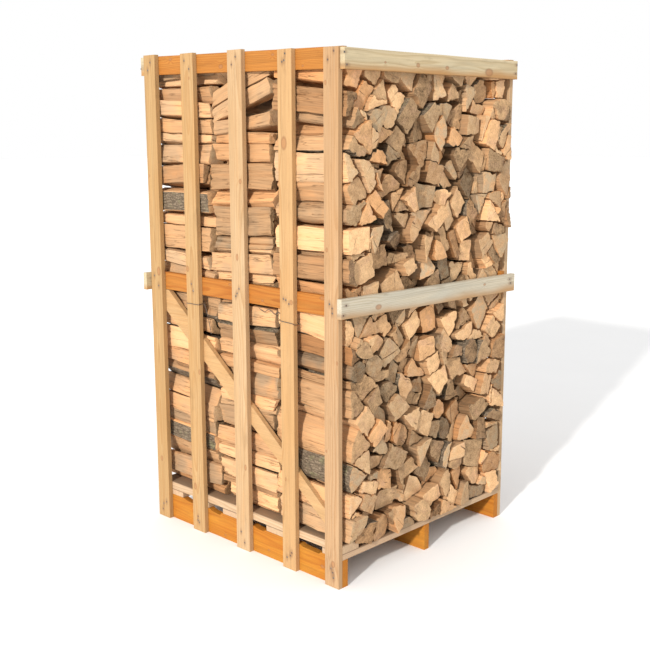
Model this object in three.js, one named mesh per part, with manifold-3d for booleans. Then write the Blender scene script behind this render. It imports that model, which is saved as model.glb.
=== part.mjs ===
// A crate of split firewood: a tall slatted pallet crate of sawn pine, packed with three rows of logs.
// Millimetres, +Z up, origin at the middle of the crate's footprint on the ground.
// The slatted faces look along -Y (front) and +Y (back). The sawn ends of the logs look along -X and +X.
import * as THREE from 'three';
import { mergeVertices } from 'three/addons/utils/BufferGeometryUtils.js';
import Module from 'manifold-3d';

const wasm = await Module();
wasm.setup();

// ---------------------------------------------------------------- driving dimensions

const CRATE_WIDTH = 1129; // along X, over the outer edges of the corner slats
const CRATE_DEPTH = 1065; // along Y, over the outer faces of the slats
const GAP = 0.3; // clearance between pieces that touch

const SLAT_THICKNESS = 22;
const SLAT_CENTRES = [-526.5, -277, 15, 293, 527.5]; // along X, seen from the front
const SLAT_WIDTHS = [76, 79, 81, 74, 73];
const FRONT_SLAT_TOPS = [2031, 2025, 2022, 2009, 2003]; // the saw cuts at the top are uneven
const BACK_SLAT_TOPS = [2006, 2018, 2012, 2024, 2020];

const RAIL_THICKNESS = 22;
const RAIL_HEIGHT = 76;
const TOP_RAIL_LEVEL = 1978; // middle of the rail, at the middle of the crate
const TOP_RAIL_FALL = 22; // how much lower the rail is at its +X end than at its -X end
const MID_RAIL_LEVEL = 1083;

const END_BOARD_THICKNESS = 22;
const END_BOARD_HEIGHT = 74;
const RIGHT_TOP_BOARD_LEVEL = 1963;
const LEFT_TOP_BOARD_LEVEL = 1986;
const MID_BOARD_LEVEL = 1077;
const MID_BOARD_FALL = 15; // along the right mid board, from front to back
const TOP_BOARD_REACH = [-524, 530]; // ends along Y
const MID_BOARD_REACH = [-541, 557];

const RUNNER_HEIGHT = 110;
const RUNNER_THICKNESS = 29;
const CROSS_BOARD_THICKNESS = 25;
const CROSS_BOARD_SPANS = [[-564, -414], [-324, -234], [-139, -20], [136, 236], [456, 564]]; // along X
const SILL_THICKNESS = 34;
const SILL_WIDTH = 90;

const BRACE_THICKNESS = 20;

const WIRE_DIAMETER = 3;
const WIRE_LEVEL = 1009; // just under the mid rail
const STRAIGHT_TAIL = [[30, 9, -126], [20, 8, -84], [10, 6, -42], [2, 2, -10]];
const WAVY_TAIL = [[150, 4, 20], [122, 7, 8], [94, 3, 24], [66, 7, 6], [38, 4, 18], [12, 3, 3]];

const ROW_PITCH = 375; // from the middle of one row of logs to the next, along X
const STACK_TOP = 1962;
const STACK_BULGE = 18; // how far log ends stand out past the corner slats, clear of the end boards
const BULGE_SPANS = [[176, 1020], [1134, 1912]]; // levels between the end boards
const FACE_BULGE_SPAN = [1126, 1922]; // levels between the rails, where logs press against the slats

const EDGE_WEAR = 1.2; // softened arris on every sawn board

// ---------------------------------------------------------------- derived places

const HALF_WIDTH = CRATE_WIDTH / 2;
const HALF_DEPTH = CRATE_DEPTH / 2;
const SLAT_INNER = HALF_DEPTH - SLAT_THICKNESS; // distance of the slats' inner faces from the middle
const RAIL_OUTER = SLAT_INNER - GAP;
const RAIL_INNER = RAIL_OUTER - RAIL_THICKNESS;
const CROSS_BOTTOM = RUNNER_HEIGHT + GAP;
const CROSS_TOP = CROSS_BOTTOM + CROSS_BOARD_THICKNESS;
const SILL_BOTTOM = CROSS_TOP + GAP;
const SILL_TOP = SILL_BOTTOM + SILL_THICKNESS;
const SILL_INNER = RAIL_OUTER - SILL_WIDTH;
const STACK_HALF_DEPTH = RAIL_INNER - GAP;

// ---------------------------------------------------------------- wood colours

const paleSlat = new THREE.MeshStandardMaterial({ color: 0xe6c08c, roughness: 0.78, metalness: 0 });
const stainedRail = new THREE.MeshStandardMaterial({ color: 0xdc9a52, roughness: 0.75, metalness: 0 });
const stainedRunner = new THREE.MeshStandardMaterial({ color: 0xe39b3e, roughness: 0.72, metalness: 0 });
const agedBoard = new THREE.MeshStandardMaterial({ color: 0xd6c59f, roughness: 0.8, metalness: 0 });
const splitWood = new THREE.MeshStandardMaterial({ color: 0xc79a6c, roughness: 0.85, metalness: 0 });
const darkWire = new THREE.MeshStandardMaterial({ color: 0x4a4642, roughness: 0.45, metalness: 0.9 });

const crate = new THREE.Group();

// ---------------------------------------------------------------- sawn boards

/** A gentle, repeatable wander of a sawn edge, in millimetres. */
function sawWander(station, seed) {
  return 0.9 * Math.sin(1.7 * station + 2.3 * seed) + 0.5 * Math.sin(4.1 * station + seed);
}

/** The outline of a sawn board with slightly wandering long edges, centred on the origin. */
function sawnOutline(length, width, seed) {
  const stations = 4;
  const outline = new THREE.Shape();
  const halfLength = length / 2 - EDGE_WEAR;
  const halfWidth = width / 2 - EDGE_WEAR;
  const along = (step) => -halfLength + (2 * halfLength * step) / stations;
  outline.moveTo(-halfLength, -halfWidth);
  for (let step = 1; step < stations; step += 1) {
    outline.lineTo(along(step), -halfWidth + Math.abs(sawWander(step, seed)));
  }
  outline.lineTo(halfLength, -halfWidth);
  outline.lineTo(halfLength, halfWidth);
  for (let step = stations - 1; step > 0; step -= 1) {
    outline.lineTo(along(step), halfWidth - Math.abs(sawWander(step, seed + 5)));
  }
  outline.lineTo(-halfLength, halfWidth);
  outline.closePath();
  return outline;
}

/** A plank: an outline in XY given thickness along Z, with worn edges, centred on the origin. */
function plank(outline, thickness) {
  const geometry = new THREE.ExtrudeGeometry(outline, {
    depth: thickness - 2 * EDGE_WEAR,
    bevelEnabled: true,
    bevelThickness: EDGE_WEAR,
    bevelSize: EDGE_WEAR,
    bevelSegments: 1,
    curveSegments: 4,
  });
  geometry.translate(0, 0, EDGE_WEAR - thickness / 2);
  return geometry;
}

function addPiece(group, name, geometry, material) {
  const mesh = new THREE.Mesh(geometry, material);
  mesh.name = name;
  group.add(mesh);
  return mesh;
}

// ---------------------------------------------------------------- the two slatted faces

/** A piece of a slatted face stands in XZ with its thickness along Y, this far out from the middle. */
function standUpright(mesh, outerFace, thickness) {
  mesh.rotation.x = Math.PI / 2;
  mesh.position.y = -(outerFace - thickness / 2);
}

function addSlats(face, side, tops) {
  SLAT_CENTRES.forEach((centre, index) => {
    const seed = index + (side === 'front' ? 0 : 10);
    const geometry = plank(sawnOutline(tops[index], SLAT_WIDTHS[index], seed), SLAT_THICKNESS);
    geometry.rotateZ(Math.PI / 2);
    const slat = addPiece(face, `${side}_slat_${index + 1}`, geometry, paleSlat);
    standUpright(slat, HALF_DEPTH, SLAT_THICKNESS);
    slat.position.x = centre;
    slat.position.z = tops[index] / 2;
  });
}

/** A rail joins the slats from inside. A rail that falls is cut a little short, to stay between the ends. */
function addRail(face, name, level, fall, seed) {
  const slope = Math.atan2(fall, CRATE_WIDTH);
  const length = CRATE_WIDTH - 2 * GAP - RAIL_HEIGHT * Math.abs(Math.sin(slope));
  const outline = sawnOutline(length, RAIL_HEIGHT, seed);
  const geometry = plank(outline, RAIL_THICKNESS);
  geometry.rotateZ(-slope);
  const rail = addPiece(face, name, geometry, stainedRail);
  standUpright(rail, RAIL_OUTER, RAIL_THICKNESS);
  rail.position.z = level;
}

/** The diagonal brace runs down behind the slats, from under the mid rail to the foot of the end slat. */
function addBrace(face, side) {
  const railUnderside = MID_RAIL_LEVEL - RAIL_HEIGHT / 2 - GAP;
  const start = 12 - HALF_WIDTH;
  const end = 1110 - HALF_WIDTH;
  const outline = new THREE.Shape();
  outline.moveTo(start, railUnderside - 1);
  outline.lineTo(start, 998);
  outline.lineTo(end, 180);
  outline.lineTo(end, 234);
  outline.lineTo(94 - HALF_WIDTH, railUnderside - 1);
  outline.closePath();
  const geometry = new THREE.ExtrudeGeometry(outline, { depth: BRACE_THICKNESS, bevelEnabled: false });
  geometry.translate(0, 0, -BRACE_THICKNESS / 2);
  const brace = addPiece(face, `${side}_brace`, geometry, paleSlat);
  standUpright(brace, RAIL_OUTER, BRACE_THICKNESS);
}

function addSlattedFace(side, tops, turn) {
  const face = new THREE.Group();
  face.rotation.z = turn;
  const fall = side === 'front' ? TOP_RAIL_FALL : -TOP_RAIL_FALL;
  addSlats(face, side, tops);
  addRail(face, `${side}_top_rail`, TOP_RAIL_LEVEL, fall, 3);
  addRail(face, `${side}_mid_rail`, MID_RAIL_LEVEL, 0, 7);
  addBrace(face, side);
  crate.add(face);
}

// ---------------------------------------------------------------- the boards across the log ends

function addEndBoard(name, side, level, reach, fall, seed) {
  const geometry = plank(sawnOutline(reach[1] - reach[0], END_BOARD_HEIGHT, seed), END_BOARD_THICKNESS);
  geometry.rotateZ(-Math.atan2(fall, CRATE_DEPTH));
  const turned = new THREE.Group();
  turned.rotation.z = Math.PI / 2;
  turned.position.set(
    side * (HALF_WIDTH + GAP + END_BOARD_THICKNESS / 2),
    (side * (reach[0] + reach[1])) / 2,
    level,
  );
  addPiece(turned, name, geometry, agedBoard).rotation.x = Math.PI / 2;
  crate.add(turned);
}

// ---------------------------------------------------------------- the pallet base

/** A runner stands on edge. Its upper edge has bark wane, so it dips between the cross-boards. */
function addRunner(name, middle, dips) {
  const half = CRATE_WIDTH / 2 - GAP;
  const outline = new THREE.Shape();
  outline.moveTo(-half, 0);
  outline.lineTo(half, 0);
  outline.lineTo(half, RUNNER_HEIGHT);
  dips.forEach(([from, to, depth]) => {
    outline.lineTo(to, RUNNER_HEIGHT);
    outline.lineTo(to - 12, RUNNER_HEIGHT - depth);
    outline.lineTo(from + 18, RUNNER_HEIGHT - 0.6 * depth);
    outline.lineTo(from, RUNNER_HEIGHT);
  });
  outline.lineTo(-half, RUNNER_HEIGHT);
  outline.closePath();
  const geometry = new THREE.ExtrudeGeometry(outline, { depth: RUNNER_THICKNESS, bevelEnabled: false });
  geometry.translate(0, 0, -RUNNER_THICKNESS / 2);
  geometry.rotateX(Math.PI / 2);
  addPiece(crate, name, geometry, stainedRunner).position.y = middle;
}

/** A board that lies flat, its length along X or Y, between two levels. */
function addFlatBoard(name, length, width, thickness, seed, material, alongY) {
  const geometry = plank(sawnOutline(length, width, seed), thickness);
  if (alongY) {
    geometry.rotateZ(Math.PI / 2);
  }
  return addPiece(crate, name, geometry, material);
}

function addBase() {
  const runnerMiddle = RAIL_OUTER - RUNNER_THICKNESS / 2;
  addRunner('front_runner', -runnerMiddle, [[330, 448, 9], [60, 128, 7], [-232, -148, 12], [-408, -330, 8]]);
  addRunner('middle_runner', 0, [[250, 440, 6], [-400, -330, 8]]);
  addRunner('back_runner', runnerMiddle, [[244, 430, 10], [-10, 120, 6], [-225, -150, 9]]);
  CROSS_BOARD_SPANS.forEach(([from, to], index) => {
    const name = `cross_board_${index + 1}`;
    const length = 2 * RAIL_OUTER - 2 * GAP;
    const board = addFlatBoard(name, length, to - from, CROSS_BOARD_THICKNESS, index, paleSlat, true);
    board.position.set((from + to) / 2, 0, (CROSS_BOTTOM + CROSS_TOP) / 2);
  });
  [['front_sill', -1], ['back_sill', 1]].forEach(([name, side]) => {
    const board = addFlatBoard(name, CRATE_WIDTH - 2 * GAP, SILL_WIDTH, SILL_THICKNESS, side + 4, paleSlat);
    board.position.set(0, side * (RAIL_OUTER - SILL_WIDTH / 2), (SILL_BOTTOM + SILL_TOP) / 2);
  });
}

// ---------------------------------------------------------------- the wire ties

/** A wire's route: its hand-set points are spaced as its bends need, so steps follow the points. */
class WireRoute extends THREE.CatmullRomCurve3 {
  getPointAt(u, target) {
    return this.getPoint(u, target);
  }

  getTangentAt(u, target) {
    return this.getTangent(u, target);
  }
}

/** The turn of a wire round one slat, as seen from above, listed from its -X side to its +X side. */
function turnRoundSlat(centre, width, outward) {
  const radius = WIRE_DIAMETER / 2 + 3 * GAP;
  const reach = width / 2 + radius;
  const face = outward * (HALF_DEPTH + radius);
  const inside = outward * (SLAT_INNER - 6);
  const corner = 2;
  return [
    [centre - reach, inside],
    [centre - reach, face - outward * corner],
    [centre - reach + corner, face],
    [centre, face],
    [centre + reach - corner, face],
    [centre + reach, face - outward * corner],
    [centre + reach, inside],
  ];
}

/**
 * One tie: a loose tail, round a front slat, through the stack, round the back slat and home again.
 * The tail lists how far its points lie from the slat: sideways, inward and up.
 */
function addWireTie(name, frontSlat, backSlat, tailSide, tail, fall) {
  const frontX = SLAT_CENTRES[frontSlat];
  const backX = -SLAT_CENTRES[backSlat];
  const front = turnRoundSlat(frontX, SLAT_WIDTHS[frontSlat], -1);
  const back = turnRoundSlat(backX, SLAT_WIDTHS[backSlat], 1);
  if (tailSide > 0) {
    front.reverse();
    back.reverse();
  }
  const half = -2.6 * tailSide; // half the distance between the two runs of wire inside the stack
  const inner = STACK_HALF_DEPTH + 2;
  const points = [];
  const add = (x, y, z) => points.push(new THREE.Vector3(x, y, z));
  tail.forEach(([sideways, inward, up]) => {
    add(front[0][0] + tailSide * sideways, front[0][1] + inward, WIRE_LEVEL + up);
  });
  front.forEach(([x, y], index) => add(x, y, WIRE_LEVEL - (fall * index) / (front.length - 1)));
  const runStations = [-inner, 60 - inner, 0, inner - 60, inner];
  const runX = (y) => (frontX + backX) / 2 + ((backX - frontX) * y) / (2 * inner);
  runStations.forEach((y) => add(runX(y) + half, y, WIRE_LEVEL));
  back.reverse().forEach(([x, y]) => add(x, y, WIRE_LEVEL));
  runStations.reverse().forEach((y) => add(runX(y) - half, y, WIRE_LEVEL));
  const sides = 8;
  const section = new THREE.Shape();
  for (let side = 0; side < sides; side += 1) {
    const angle = (2 * Math.PI * side) / sides;
    const x = (WIRE_DIAMETER / 2) * Math.cos(angle);
    const y = (WIRE_DIAMETER / 2) * Math.sin(angle);
    if (side === 0) {
      section.moveTo(x, y);
    } else {
      section.lineTo(x, y);
    }
  }
  section.closePath();
  const route = new WireRoute(points, false, 'centripetal');
  const geometry = new THREE.ExtrudeGeometry(section, { steps: 2 * (points.length - 1), extrudePath: route });
  addPiece(crate, name, geometry, darkWire);
}

// ---------------------------------------------------------------- the stacked logs

function toSolid(geometry) {
  const bare = geometry.clone();
  bare.deleteAttribute('normal');
  bare.deleteAttribute('uv');
  const merged = mergeVertices(bare);
  const vertProperties = new Float32Array(merged.attributes.position.array);
  const triVerts = new Uint32Array(merged.index.array);
  return new wasm.Manifold(new wasm.Mesh({ numProp: 3, vertProperties, triVerts }));
}

function toGeometry(solid) {
  const mesh = solid.getMesh();
  const geometry = new THREE.BufferGeometry();
  geometry.setAttribute('position', new THREE.BufferAttribute(mesh.vertProperties, 3));
  geometry.setIndex(new THREE.BufferAttribute(mesh.triVerts, 1));
  geometry.computeVertexNormals();
  return geometry;
}

/** A block between two corners, as a solid. */
function block(low, high) {
  const geometry = new THREE.BoxGeometry(high[0] - low[0], high[1] - low[1], high[2] - low[2]);
  geometry.translate((low[0] + high[0]) / 2, (low[1] + high[1]) / 2, (low[2] + high[2]) / 2);
  return toSolid(geometry);
}

/** One row of logs, below or above the wires: the space its logs fill, out to their ends. */
function addLogRow(row, level) {
  const middle = (row - 2) * ROW_PITCH;
  const half = row === 2 ? ROW_PITCH / 2 - GAP : ROW_PITCH / 2;
  const outward = Math.sign(row - 2);
  const outerFace = outward * (HALF_WIDTH - GAP);
  const innerFace = middle - outward * half;
  const low = row === 2 ? -half : Math.min(outerFace, innerFace);
  const high = row === 2 ? half : Math.max(outerFace, innerFace);
  const parting = WIRE_LEVEL + WIRE_DIAMETER;
  const bottom = level === 'lower' ? CROSS_TOP + GAP : parting + GAP;
  const top = level === 'lower' ? parting : STACK_TOP;
  const depth = STACK_HALF_DEPTH;
  let solid = block([low, -depth, bottom], [high, depth, top]);
  if (outward !== 0) {
    const [from, to] = BULGE_SPANS[level === 'lower' ? 0 : 1];
    const reach = outward * (HALF_WIDTH + STACK_BULGE);
    const near = Math.min(outerFace - outward, reach);
    const far = Math.max(outerFace - outward, reach);
    solid = solid.add(block([near, -depth, from], [far, depth, Math.min(to, top)]));
  }
  if (level === 'upper') {
    const face = SLAT_INNER - GAP;
    const [from, to] = FACE_BULGE_SPAN;
    solid = solid.add(block([low, -face, from], [high, face, to]));
  }
  if (level === 'lower') {
    const sill = SILL_INNER - GAP;
    const over = SILL_TOP + GAP;
    solid = solid.subtract(block([-HALF_WIDTH - 40, -depth - 40, 0], [HALF_WIDTH + 40, -sill, over]));
    solid = solid.subtract(block([-HALF_WIDTH - 40, sill, 0], [HALF_WIDTH + 40, depth + 40, over]));
    [SLAT_CENTRES[1], SLAT_CENTRES[3]].forEach((centre) => {
      const channel = 24;
      const floor = WIRE_LEVEL - 4 * WIRE_DIAMETER;
      const from = [centre - channel, -depth - 40, floor];
      const to = [centre + channel, depth + 40, parting + 40];
      solid = solid.subtract(block(from, to));
    });
  }
  addPiece(crate, `log_row_${row}_${level}`, toGeometry(solid), splitWood);
}

// ---------------------------------------------------------------- assembly

addSlattedFace('front', FRONT_SLAT_TOPS, 0);
addSlattedFace('back', BACK_SLAT_TOPS, Math.PI);
addEndBoard('right_top_board', 1, RIGHT_TOP_BOARD_LEVEL, TOP_BOARD_REACH, 0, 11);
addEndBoard('right_mid_board', 1, MID_BOARD_LEVEL, MID_BOARD_REACH, MID_BOARD_FALL, 12);
addEndBoard('left_top_board', -1, LEFT_TOP_BOARD_LEVEL, TOP_BOARD_REACH, 0, 13);
addEndBoard('left_mid_board', -1, MID_BOARD_LEVEL, MID_BOARD_REACH, 0, 14);
addBase();
addWireTie('wire_tie_1', 1, 3, 1, STRAIGHT_TAIL, 3);
addWireTie('wire_tie_2', 3, 1, -1, WAVY_TAIL, 14);
for (const row of [1, 2, 3]) {
  addLogRow(row, 'lower');
  addLogRow(row, 'upper');
}

export default crate;
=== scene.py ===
"""A slatted pallet crate packed with three rows of split firewood.

The crate's boards come from the frame and are dressed here in sawn pine. Every log is built here: the
sections of the logs are packed row by row, then each log is lofted between its two sawn ends, with
split faces, torn fibres and bark, and the logs take the place of the frame's plain blocks.
"""

import enum
import logging
import math
from dataclasses import dataclass, field
from typing import Iterable, Sequence

import bpy
import numpy as np
from mathutils import Euler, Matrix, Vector


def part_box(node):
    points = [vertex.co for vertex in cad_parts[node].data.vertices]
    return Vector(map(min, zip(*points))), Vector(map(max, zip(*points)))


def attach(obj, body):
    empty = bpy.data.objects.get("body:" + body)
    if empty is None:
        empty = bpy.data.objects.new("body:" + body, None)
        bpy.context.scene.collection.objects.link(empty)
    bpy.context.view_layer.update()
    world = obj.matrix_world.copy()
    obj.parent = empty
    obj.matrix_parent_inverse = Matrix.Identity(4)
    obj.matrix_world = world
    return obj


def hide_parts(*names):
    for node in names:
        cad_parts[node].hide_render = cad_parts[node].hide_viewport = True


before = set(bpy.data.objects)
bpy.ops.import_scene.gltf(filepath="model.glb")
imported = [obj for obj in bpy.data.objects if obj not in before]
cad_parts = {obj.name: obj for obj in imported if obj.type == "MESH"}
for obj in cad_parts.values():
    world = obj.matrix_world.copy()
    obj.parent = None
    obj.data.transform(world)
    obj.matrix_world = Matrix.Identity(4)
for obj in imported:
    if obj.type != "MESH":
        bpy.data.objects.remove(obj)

log = logging.getLogger("firewood_crate")

Colour = tuple[float, float, float]
Place = tuple[float, float, float]
BODY = "root"


# ---------------------------------------------------------------- shader maths


class Socket:
    """A value, colour or vector that flows between shader nodes, with arithmetic on values."""

    def __init__(self, painter: "Painter", link: bpy.types.NodeSocket) -> None:
        """Keeps the painter and the output socket it wraps."""
        self.painter = painter
        self.link = link

    def _maths(self, operation: str, *values: object) -> "Socket":
        """Adds a Math node on these values."""
        return self.painter.node("ShaderNodeMath", {"operation": operation}, dict(enumerate(values)))

    def __add__(self, other: object) -> "Socket":
        """Sum."""
        return self._maths("ADD", self, other)

    def __radd__(self, other: object) -> "Socket":
        """Sum with a number on the left."""
        return self._maths("ADD", other, self)

    def __sub__(self, other: object) -> "Socket":
        """Difference."""
        return self._maths("SUBTRACT", self, other)

    def __rsub__(self, other: object) -> "Socket":
        """Difference from a number on the left."""
        return self._maths("SUBTRACT", other, self)

    def __mul__(self, other: object) -> "Socket":
        """Product."""
        return self._maths("MULTIPLY", self, other)

    def __rmul__(self, other: object) -> "Socket":
        """Product with a number on the left."""
        return self._maths("MULTIPLY", other, self)

    def __truediv__(self, other: object) -> "Socket":
        """Quotient."""
        return self._maths("DIVIDE", self, other)

    def __pow__(self, other: object) -> "Socket":
        """Power."""
        return self._maths("POWER", self, other)

    def fraction(self) -> "Socket":
        """The part after the decimal point."""
        return self._maths("FRACT", self)

    def size(self) -> "Socket":
        """The value without its sign."""
        return self._maths("ABSOLUTE", self)

    def smallest(self, other: object) -> "Socket":
        """The smaller of two values."""
        return self._maths("MINIMUM", self, other)

    def ease(self, low: float, high: float) -> "Socket":
        """A smooth step.

        Args:
            low: The value at which the step starts, where it gives 0.
            high: The value at which the step ends, where it gives 1.

        Returns:
            The stepped value.
        """
        settings = {"interpolation_type": "SMOOTHSTEP"}
        sockets = {"Value": self, "From Min": low, "From Max": high}
        return self.painter.node("ShaderNodeMapRange", settings, sockets)


class Painter:
    """Builds one material's node tree."""

    def __init__(self, name: str) -> None:
        """Starts an empty material.

        Args:
            name: The material's name.
        """
        self.material = bpy.data.materials.new(name)
        self.material.use_nodes = True
        self.tree = self.material.node_tree
        self.tree.nodes.clear()
        self.output = self.tree.nodes.new("ShaderNodeOutputMaterial")

    def node(
        self,
        kind: str,
        settings: dict[str, object] | None = None,
        sockets: dict[str | int, object] | None = None,
        out: str | int = 0,
    ) -> Socket:
        """Makes any node.

        Args:
            kind: The node's type.
            settings: Its properties, such as a Math node's operation, set first.
            sockets: Values or links for its inputs, by name or number.
            out: The output wanted, by name or number.

        Returns:
            That output.
        """
        made = self.tree.nodes.new(kind)
        for key, value in (settings or {}).items():
            setattr(made, key, value)
        for key, value in (sockets or {}).items():
            if isinstance(value, Socket):
                self.tree.links.new(value.link, made.inputs[key])
            else:
                made.inputs[key].default_value = value
        return Socket(self, made.outputs[out])

    def mix(self, share: object, first: object, second: object) -> Socket:
        """Mixes two colours.

        Args:
            share: How much of the second colour.
            first: A colour or a link.
            second: A colour or a link.

        Returns:
            The mixed colour.
        """
        settings = {"data_type": "RGBA", "clamp_factor": True}
        colours = [c if isinstance(c, Socket) else (*c, 1.0) for c in (first, second)]
        return self.node("ShaderNodeMix", settings, {0: share, 6: colours[0], 7: colours[1]}, 2)

    def vector(self, x: object, y: object, z: object) -> Socket:
        """Joins three values into a vector."""
        return self.node("ShaderNodeCombineXYZ", None, {0: x, 1: y, 2: z})

    def split(self, vector: Socket) -> tuple[Socket, Socket, Socket]:
        """Splits a vector into its three values."""
        first = self.node("ShaderNodeSeparateXYZ", None, {0: vector})
        outputs = first.link.node.outputs
        return tuple(Socket(self, o) for o in outputs)

    def scaled(self, vector: Socket, scale: object) -> Socket:
        """Multiplies a vector or a colour by another, part by part, or by a value."""
        return self.node("ShaderNodeVectorMath", {"operation": "MULTIPLY"}, {0: vector, 1: scale})

    def shifted(self, vector: Socket, offset: object) -> Socket:
        """Adds another vector to a vector."""
        return self.node("ShaderNodeVectorMath", {"operation": "ADD"}, {0: vector, 1: offset})

    def noise(
        self, vector: Socket, scale: float, detail: float = 2.0, rough: float = 0.5, warp: float = 0.0
    ) -> Socket:
        """Cloudy noise between about 0.25 and 0.75."""
        sockets = {"Vector": vector, "Scale": scale, "Detail": detail, "Roughness": rough, "Distortion": warp}
        return self.node("ShaderNodeTexNoise", None, sockets)

    def cells(self, vector: Socket, scale: float) -> Socket:
        """Distance to the edges between scattered cells."""
        sockets = {"Vector": vector, "Scale": scale}
        return self.node("ShaderNodeTexVoronoi", {"feature": "DISTANCE_TO_EDGE"}, sockets)

    def attribute(self, name: str, out: str) -> Socket:
        """Reads a mesh attribute."""
        return self.node("ShaderNodeAttribute", {"attribute_name": name}, None, out)

    def bump(self, height: Socket, reach: float, strength: float) -> Socket:
        """A normal from a height in metres times reach."""
        return self.node("ShaderNodeBump", None, {"Height": height, "Distance": reach, "Strength": strength})

    def finish(
        self, colour: Socket, roughness: object, normal: Socket | None, **constants: object
    ) -> bpy.types.Material:
        """Ends the tree in one shader.

        Args:
            colour: The base colour.
            roughness: A value or a link.
            normal: The bumped normal, if any.
            constants: Values or links for the shader's other sockets, with _ for a space.

        Returns:
            The material.
        """
        sockets = {"Base Color": colour, "Roughness": roughness}
        if normal is not None:
            sockets["Normal"] = normal
        sockets.update({key.replace("_", " "): value for key, value in constants.items()})
        shader = self.node("ShaderNodeBsdfPrincipled", None, sockets)
        self.tree.links.new(shader.link, self.output.inputs["Surface"])
        return self.material


# ---------------------------------------------------------------- finishes


class Axis(enum.Enum):
    """A direction of the frame that a board's grain follows."""

    X = 0
    Y = 1
    Z = 2


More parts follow.
